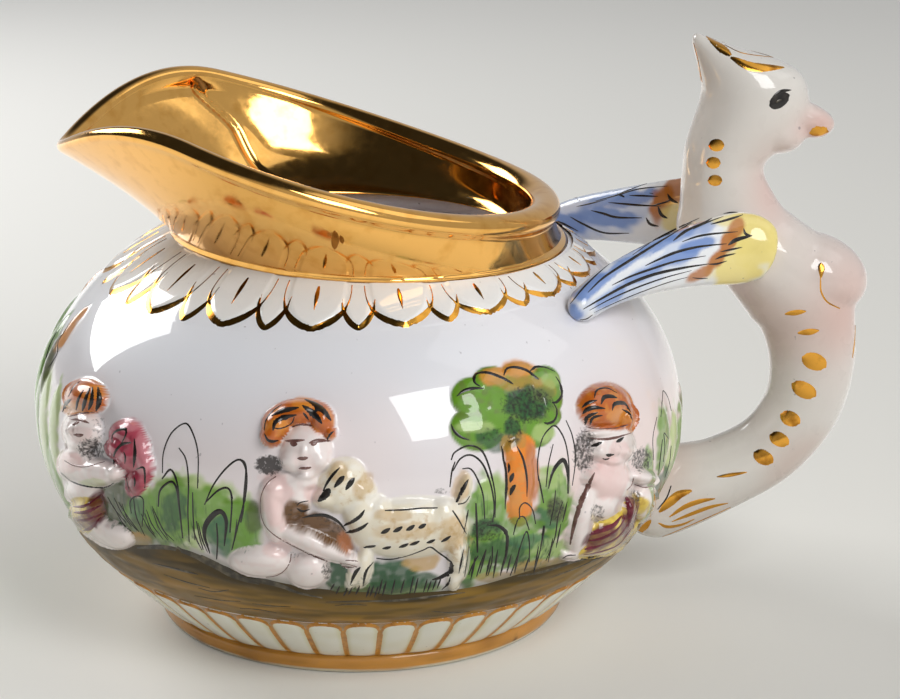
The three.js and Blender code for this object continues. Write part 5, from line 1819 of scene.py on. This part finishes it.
# %% Black lines in the right view
RIGHT_BLADES = [(130, 1250, 1400), (165, 1230, 1420), (205, 1290, 1440), (300, 1290, 1420),
                (345, 1250, 1430), (390, 1290, 1415), (430, 1280, 1400), (480, 1240, 1400),
                (540, 1300, 1390), (600, 1230, 1400), (640, 1100, 1250), (690, 1180, 1330),
                (740, 1090, 1240), (780, 950, 1080), (160, 1000, 1150)]
RIGHT_BLACK = {"leaf": [
    (22, (105, 290), (150, 255), (210, 240), (275, 240)),
    (24, (255, 230), (215, 200), (225, 150), (290, 140), (370, 165), (430, 195), (460, 215)),
    (24, (400, 160), (420, 115), (480, 108), (550, 130), (600, 170), (620, 185)),
    (20, (560, 135), (600, 108), (660, 108), (720, 135)),
    (24, (725, 165), (755, 215), (765, 280), (735, 325), (700, 330)),
    (20, (710, 330), (735, 380), (720, 440), (680, 460), (650, 455)),
    (18, (70, 465), (90, 510), (130, 545), (185, 565)),
    (22, (385, 600), (400, 680), (415, 800), (412, 920), (408, 1000)),
    (18, (480, 600), (520, 680), (545, 800), (545, 920)),
    (18, (430, 710), (434, 740), (428, 770)),
    (26, (462, 770), (450, 800), (440, 830)),
    (28, (475, 845), (455, 870), (440, 910)),
    (28, (680, 870), (710, 760), (770, 690), (800, 760), (800, 900)),
    (24, (300, 1100), (370, 1105), (420, 1160), (415, 1280), (400, 1350)),
    (24, (890, 360), (930, 330), (985, 315)),
    (18, (968, 300), (985, 250), (1050, 238), (1110, 270)),
    (30, (1010, 340), (1030, 295), (1080, 290), (1110, 300)),
    (30, (895, 400), (920, 375), (970, 360), (1035, 368)),
    (26, (910, 470), (925, 420), (990, 392)),
    (22, (940, 470), (960, 425), (1020, 410)),
    (28, (1080, 380), (1095, 338), (1160, 335), (1195, 390)),
    (16, (1140, 370), (1190, 400), (1205, 440)),
    (26, (950, 602), (982, 594), (1016, 578)),
    (22, (1104, 576), (1128, 566), (1152, 548)),
    (24, (1040, 655), (1065, 661), (1092, 655)),
    (16, (1018, 680), (1040, 686), (1062, 680)),
], "line": [
    (12, (70, 690), (95, 640), (180, 600), (260, 630), (310, 740), (345, 900), (345, 1050)),
    (12, (80, 760), (130, 680), (200, 660), (270, 720), (320, 850), (340, 980), (330, 1080)),
    (10, (140, 745), (190, 745), (230, 800), (270, 910), (280, 1060)),
    (10, (62, 860), (75, 760), (95, 700)),
    (11, (618, 820), (612, 700), (640, 560), (690, 490), (730, 480), (780, 560), (805, 680), (810, 800),
         (805, 900)),
    (10, (790, 440), (830, 540), (850, 680), (830, 850)),
    (9, (665, 860), (680, 720), (710, 590)),
    (10, (615, 780), (635, 880), (650, 960)),
    (14, (235, 1270), (232, 1130), (225, 960)),
    (12, (290, 1250), (270, 1330), (250, 1400)),
    (12, (180, 1410), (205, 1350), (240, 1290)),
    (11, (230, 1420), (255, 1340), (285, 1260)),
    (11, (300, 1415), (325, 1330), (330, 1230)),
    (11, (440, 1415), (470, 1340), (500, 1250)),
    (11, (470, 1390), (500, 1250), (540, 1140), (560, 1200), (560, 1330)),
    (10, (460, 1160), (490, 1060), (530, 1050), (560, 1130)),
    (10, (500, 1060), (500, 990), (535, 958), (580, 1000), (600, 1090)),
    (11, (590, 1390), (630, 1250), (650, 1100)),
    (11, (665, 1320), (720, 1180), (740, 1050), (770, 950)),
    (10, (690, 1100), (715, 980), (725, 880)),
    (8, (1385, 420), (1395, 300), (1400, 255), (1430, 300), (1450, 380)),
    (8, (1400, 700), (1410, 600), (1405, 520), (1440, 570)),
    (8, (1340, 690), (1335, 550), (1360, 420)),
    (9, (1370, 780), (1385, 650), (1395, 560)),
    (10, (1365, 1000), (1420, 930), (1450, 850)),
    (8, (1410, 800), (1440, 700), (1450, 600)),
    (9, (770, 1308), (800, 1290), (850, 1286)),
]}
RIGHT_BLACK["leaf"] += [(15, (x + 18, top), (x + 4, (top + low) / 2), (x - 12, low))
                        for x, top, low in RIGHT_BLADES]
BLACK_STROKES = {"middle": MIDDLE_BLACK, "left": LEFT_BLACK, "right": RIGHT_BLACK}
brush_all("black_lines", BLACK_LINE, BLACK_STROKES, load=1.35)

# %% Feathers of the wings
FEATHER_STROKES = {"wing": {"leaf": [
    (20, (190, 870), (300, 740), (450, 610), (620, 505)),
    (26, (300, 800), (400, 705), (560, 600), (700, 512), (830, 432), (950, 362)),
    (18, (580, 565), (700, 482), (850, 402), (1000, 332)),
    (36, (835, 475), (920, 410), (1020, 365), (1130, 302)),
    (18, (960, 402), (1060, 355), (1150, 322)),
    (26, (1070, 372), (1180, 342), (1272, 312)),
    (12, (1150, 304), (1200, 297), (1240, 296)),
    (20, (890, 482), (980, 450), (1080, 432), (1240, 418)),
    (24, (660, 632), (760, 585), (860, 545), (1000, 512), (1170, 494)),
    (20, (450, 755), (560, 702), (700, 652), (860, 602), (1040, 570)),
    (28, (270, 905), (400, 830), (560, 745), (720, 685), (900, 645), (1060, 620)),
    (16, (310, 912), (440, 842), (600, 772), (780, 708), (950, 662)),
    (11, (340, 925), (480, 860), (640, 795), (800, 738), (930, 702)),
    (20, (250, 970), (290, 966), (330, 940)),
    (36, (1180, 502), (1230, 470), (1330, 442)),
    (26, (1278, 398), (1290, 432), (1328, 445)),
    (18, (1130, 545), (1200, 530), (1268, 516)),
    (20, (1098, 592), (1150, 572), (1226, 556)),
    (18, (1058, 622), (1110, 620), (1172, 602)),
    (12, (955, 706), (1000, 712), (1052, 710)),
    (24, (80, 345), (150, 370), (240, 415)),
    (26, (190, 325), (270, 370), (400, 425), (560, 428)),
    (24, (320, 285), (400, 305), (480, 328), (640, 332)),
    (20, (430, 235), (540, 245), (620, 252), (760, 258)),
    (18, (560, 190), (640, 193), (740, 197)),
    (14, (230, 260), (300, 245), (420, 215)),
    (16, (350, 225), (480, 190), (620, 150), (800, 132)),
    (14, (450, 200), (600, 140), (760, 90), (870, 65)),
    (30, (800, 180), (820, 215), (870, 240)),
    (34, (740, 260), (760, 310), (800, 335)),
    (16, (700, 255), (780, 235), (830, 215)),
    (30, (665, 330), (690, 370), (745, 385)),
]}}
brush_all("feather_lines", BLACK_LINE, FEATHER_STROKES)

# %% Brown, maroon and grey lines of the frieze
BROWN_STROKES = {
    "middle": {"leaf": [
        (26, (340, 306), (400, 292), (475, 298)),
        (22, (295, 397), (350, 398), (425, 392)),
        (34, (328, 412), (350, 418), (375, 420)),
        (26, (450, 412), (510, 396), (590, 398)),
        (30, (462, 420), (480, 416), (505, 408)),
        (26, (375, 512), (410, 513), (445, 508)),
        (26, (385, 578), (420, 577), (465, 572)),
    ], "line": [
        (12, (235, 630), (180, 672), (145, 735), (133, 800), (140, 890), (170, 960), (235, 1020),
             (340, 1080), (460, 1140), (570, 1185)),
        (11, (335, 1135), (325, 1190), (290, 1245), (235, 1278), (170, 1288)),
        (8, (655, 1198), (710, 1205), (765, 1222)),
        (8, (690, 1178), (730, 1180), (770, 1184)),
        (8, (665, 1215), (700, 1223), (745, 1222)),
    ]},
    "left": {"leaf": [
        (18, (215, 520), (260, 520), (310, 540)),
        (22, (220, 545), (238, 540), (260, 530)),
        (20, (228, 600), (255, 603), (280, 600)),
        (14, (200, 505), (260, 490), (340, 480)),
    ], "line": [
        (8, (180, 735), (230, 760), (300, 765), (390, 740)),
    ]},
    "right": {"leaf": [
        (16, (915, 480), (980, 495), (1090, 490), (1200, 465)),
        (18, (940, 552), (1020, 560), (1100, 550), (1200, 520)),
        (36, (970, 770), (930, 850), (880, 970), (840, 1100), (815, 1220)),
    ], "line": [
        (10, (1170, 880), (1200, 850), (1215, 800)),
        (9, (1215, 840), (1280, 862), (1340, 850)),
        (8, (1250, 960), (1230, 1040), (1210, 1120)),
    ]},
}
MAROON_STROKES = {
    "left": {"leaf": [
        (20, (225, 975), (290, 970), (370, 915)),
        (26, (230, 1005), (290, 1005), (370, 970)),
        (26, (245, 1045), (300, 1045), (375, 1010)),
        (24, (280, 1100), (320, 1085), (370, 1030)),
    ]},
    "right": {"leaf": [
        (44, (935, 1160), (1010, 1130), (1090, 1100), (1140, 1040)),
        (36, (925, 1200), (1020, 1180), (1110, 1130), (1165, 1050)),
        (40, (905, 1250), (1000, 1230), (1110, 1180), (1190, 1080)),
        (32, (900, 1285), (1010, 1265), (1120, 1220), (1200, 1120)),
        (62, (1165, 920), (1190, 980), (1200, 1050), (1180, 1110)),
    ]},
}
GREY_STROKES = {
    "middle": {"leaf": [
        (46, (0, 1300), (120, 1310), (250, 1340), (370, 1385)),
        (22, (250, 1345), (380, 1390), (540, 1425)),
        (24, (560, 1450), (760, 1445), (1000, 1442), (1260, 1415), (1470, 1388)),
        (14, (620, 1472), (720, 1466), (830, 1470)),
        (16, (80, 1460), (200, 1475), (330, 1482)),
        (14, (0, 1490), (120, 1500), (240, 1520)),
        (18, (1250, 1510), (1380, 1520), (1500, 1512)),
    ]},
    "left": {"leaf": [
        (60, (560, 1190), (760, 1190), (930, 1260), (1080, 1340), (1200, 1380)),
        (26, (640, 1270), (760, 1300), (880, 1330)),
        (14, (700, 1330), (820, 1370), (940, 1400)),
        (14, (880, 1400), (960, 1420), (1040, 1410)),
        (12, (860, 1440), (1000, 1465), (1100, 1470)),
    ]},
    "right": {"leaf": [
        (26, (480, 1420), (650, 1390), (830, 1330), (1000, 1290)),
        (18, (700, 1425), (850, 1370), (1010, 1300)),
        (14, (900, 1390), (1000, 1335), (1100, 1270)),
    ]},
}
brush_all("brown_lines", BROWN_LINE, BROWN_STROKES, load=1.3)
brush_all("maroon_lines", MAROON_LINE, MAROON_STROKES, load=1.2)
brush_all("grey_lines", GREY_LINE, GREY_STROKES)

# %% Brown marks on the gold
# A few small dull brown marks on the gold of the collar.
BROWN_GOLD_MARKS = {"collar": {"oval": [
    (44, (1056, 768), (1058, 808), (1054, 852)),
    (26, (1082, 790), (1088, 808), (1092, 826)),
    (16, (576, 644), (586, 648), (596, 652)),
]}}
brush_all("gold_wear", DULL_BROWN_GOLD, BROWN_GOLD_MARKS)

# %% [markdown]
# ## Gold brushwork
#
# A line of ochre outlines each tongue and burnished gold each petal, all the way round, so those
# strokes follow the formulas of the rings. The gold on the creature's tail, neck, crest and bill is
# placed on views, like the painted lines.

# %% Ochre lines round the tongues
TONGUE_LINE, TONGUE_LINE_RISE = 0.42, 0.985
SIDE_SPOTS, END_SPOTS = 10, 24


def press_on(bm, points, half_widths):
    """Presses a ribbon along points that are in millimetres from the bowl's axis."""
    spots = in_frame(points)
    normals = np.array([CARRIER.find_nearest(Vector(spot))[1] for spot in spots])
    press_ribbon(bm, spots, normals, np.asarray(half_widths) * MM)


def tongue_outline(number):
    """Up one side of a tongue, over its round end and down the other."""
    side = np.linspace(0.02, TONGUE_ROUND, SIDE_SPOTS)
    over = np.linspace(0, math.pi, END_SPOTS)[1:-1]
    end = TONGUE_ROUND + (1 - TONGUE_ROUND) * np.sin(over) ** 0.77
    rise = np.concatenate([side, end, side[::-1]])
    edge = np.ones(SIDE_SPOTS)
    across = TONGUE_HALF * np.concatenate([-edge, -np.cos(over), edge])
    angle = (number + 0.5 + 0.5 * across) * math.tau / TONGUE_COUNT
    return tongue_surface(angle, TONGUE_LINE_RISE * rise)


tongue_gold = bmesh.new()
for number in range(TONGUE_COUNT):
    outline = tongue_outline(number)
    press_on(tongue_gold, outline, np.full(len(outline), TONGUE_LINE))
finish_piece("tongue_gold", tongue_gold, OCHRE_LINE)

# %% Gold lines round the petals
PETAL_SPOTS = 40
PETAL_HAIRLINE, LARGE_LOAD, SMALL_LOAD = 0.11, 0.6, 0.5
VEIN_HALF = 0.44
VEIN_PRESSURE = np.array([0.5, 0.8, 1, 1, 0.85, 0.6, 0.35, 0.1])
VEIN_FALL = np.linspace(0.12, 0.62, len(VEIN_PRESSURE))


def petal_outline(number, half, shift):
    """Down one side of a petal, round its tip and up the other, with the brush's pressure."""
    share = np.linspace(-1, 1, PETAL_SPOTS)
    fall = 1 - 0.96 * np.abs(share) ** 1.8
    angle = (number - shift + np.sign(share) * petal_width(fall) * half) * math.tau / PETAL_PAIRS
    return on_bowl(angle, petal_height(angle, fall), PETAL_RELIEF / 2), smooth_step(fall, 0.3, 0.92)


petal_gold = bmesh.new()
for number in range(PETAL_PAIRS):
    for half, shift, load in ((LARGE_HALF, 0.0, LARGE_LOAD), (SMALL_HALF, 0.5, SMALL_LOAD)):
        outline, weight = petal_outline(number, half, shift)
        press_on(petal_gold, outline, PETAL_HAIRLINE + load * weight)
    middle = np.full(len(VEIN_FALL), number * math.tau / PETAL_PAIRS)
    vein = on_bowl(middle, petal_height(middle, VEIN_FALL), PETAL_RELIEF)
    press_on(petal_gold, vein, VEIN_HALF * VEIN_PRESSURE)
finish_piece("petal_gold", petal_gold, BRUSHED_GOLD)

# %% Gold and features of the creature
GOLD_STROKES = {
    "head": {"leaf": [
        (110, (118, 58), (190, 105), (268, 172)),
        (78, (268, 180), (380, 225), (525, 228)),
        (42, (530, 1418), (580, 1412), (632, 1405)),
        (48, (592, 1510), (643, 1505), (694, 1498)),
    ], "line": [
        (12, (240, 120), (330, 160), (490, 182)),
        (12, (90, 110), (112, 200), (132, 300)),
        (12, (702, 1250), (705, 1310), (735, 1360), (795, 1392)),
    ], "oval": [
        (84, (162, 605), (200, 604), (238, 606)),
        (80, (150, 690), (185, 689), (220, 692)),
        (74, (158, 775), (193, 774), (228, 778)),
        (104, (648, 545), (715, 538), (790, 548)),
    ], "drop": [
        (46, (705, 1170), (706, 1210), (702, 1255)),
    ]},
    "tail": {"leaf": [
        (48, (1015, 140), (1075, 132), (1137, 125)),
        (54, (1092, 250), (1155, 245), (1214, 236)),
        (44, (1424, 185), (1422, 290), (1408, 395)),
        (32, (620, 1085), (700, 1074), (795, 1058)),
        (80, (285, 1290), (340, 1240), (400, 1190), (475, 1165)),
        (48, (345, 1318), (430, 1262), (520, 1228), (610, 1212)),
        (44, (360, 1345), (470, 1302), (580, 1262), (685, 1238)),
        (40, (280, 1352), (335, 1376), (420, 1362), (490, 1330)),
        (60, (95, 1462), (150, 1425), (200, 1378), (238, 1335)),
    ], "oval": [
        (146, (1115, 388), (1185, 415), (1255, 448)),
        (138, (1055, 543), (1125, 580), (1195, 618)),
        (126, (990, 720), (1046, 747), (1103, 775)),
        (120, (928, 840), (982, 867), (1037, 898)),
        (126, (835, 942), (890, 972), (946, 1003)),
    ], "line": [
        (22, (150, 1488), (350, 1415), (600, 1308), (700, 1262)),
    ]},
}
EYE_STROKES = {"head": {"oval": [
    (100, (455, 415), (500, 392), (552, 362)),
], "leaf": [
    (24, (470, 372), (510, 345), (560, 338)),
]}}
EYE_GLINTS = {"head": {"oval": [
    (15, (486, 398), (500, 390), (514, 384)),
]}}
brush_all("creature_gold", BRUSHED_GOLD, GOLD_STROKES)
creature_eyes = brush_all("creature_eyes", BLACK_LINE, EYE_STROKES)
CARRIER = carrier_of(DRESSED + [creature_eyes])
brush_all("eye_glints", GREY_LINE, EYE_GLINTS)

# %% [markdown]
# ## Sizes and finish
#
# The dressed jug must keep the size of its solids, so the box of all the shown pieces, without the
# table, is measured and printed in millimetres.

# %% Finish
dressed_low, dressed_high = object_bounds()
dressed_size = [round((high - low) / MM, 1) for low, high in zip(dressed_low, dressed_high)]
print("dressed size in mm:", dressed_size)
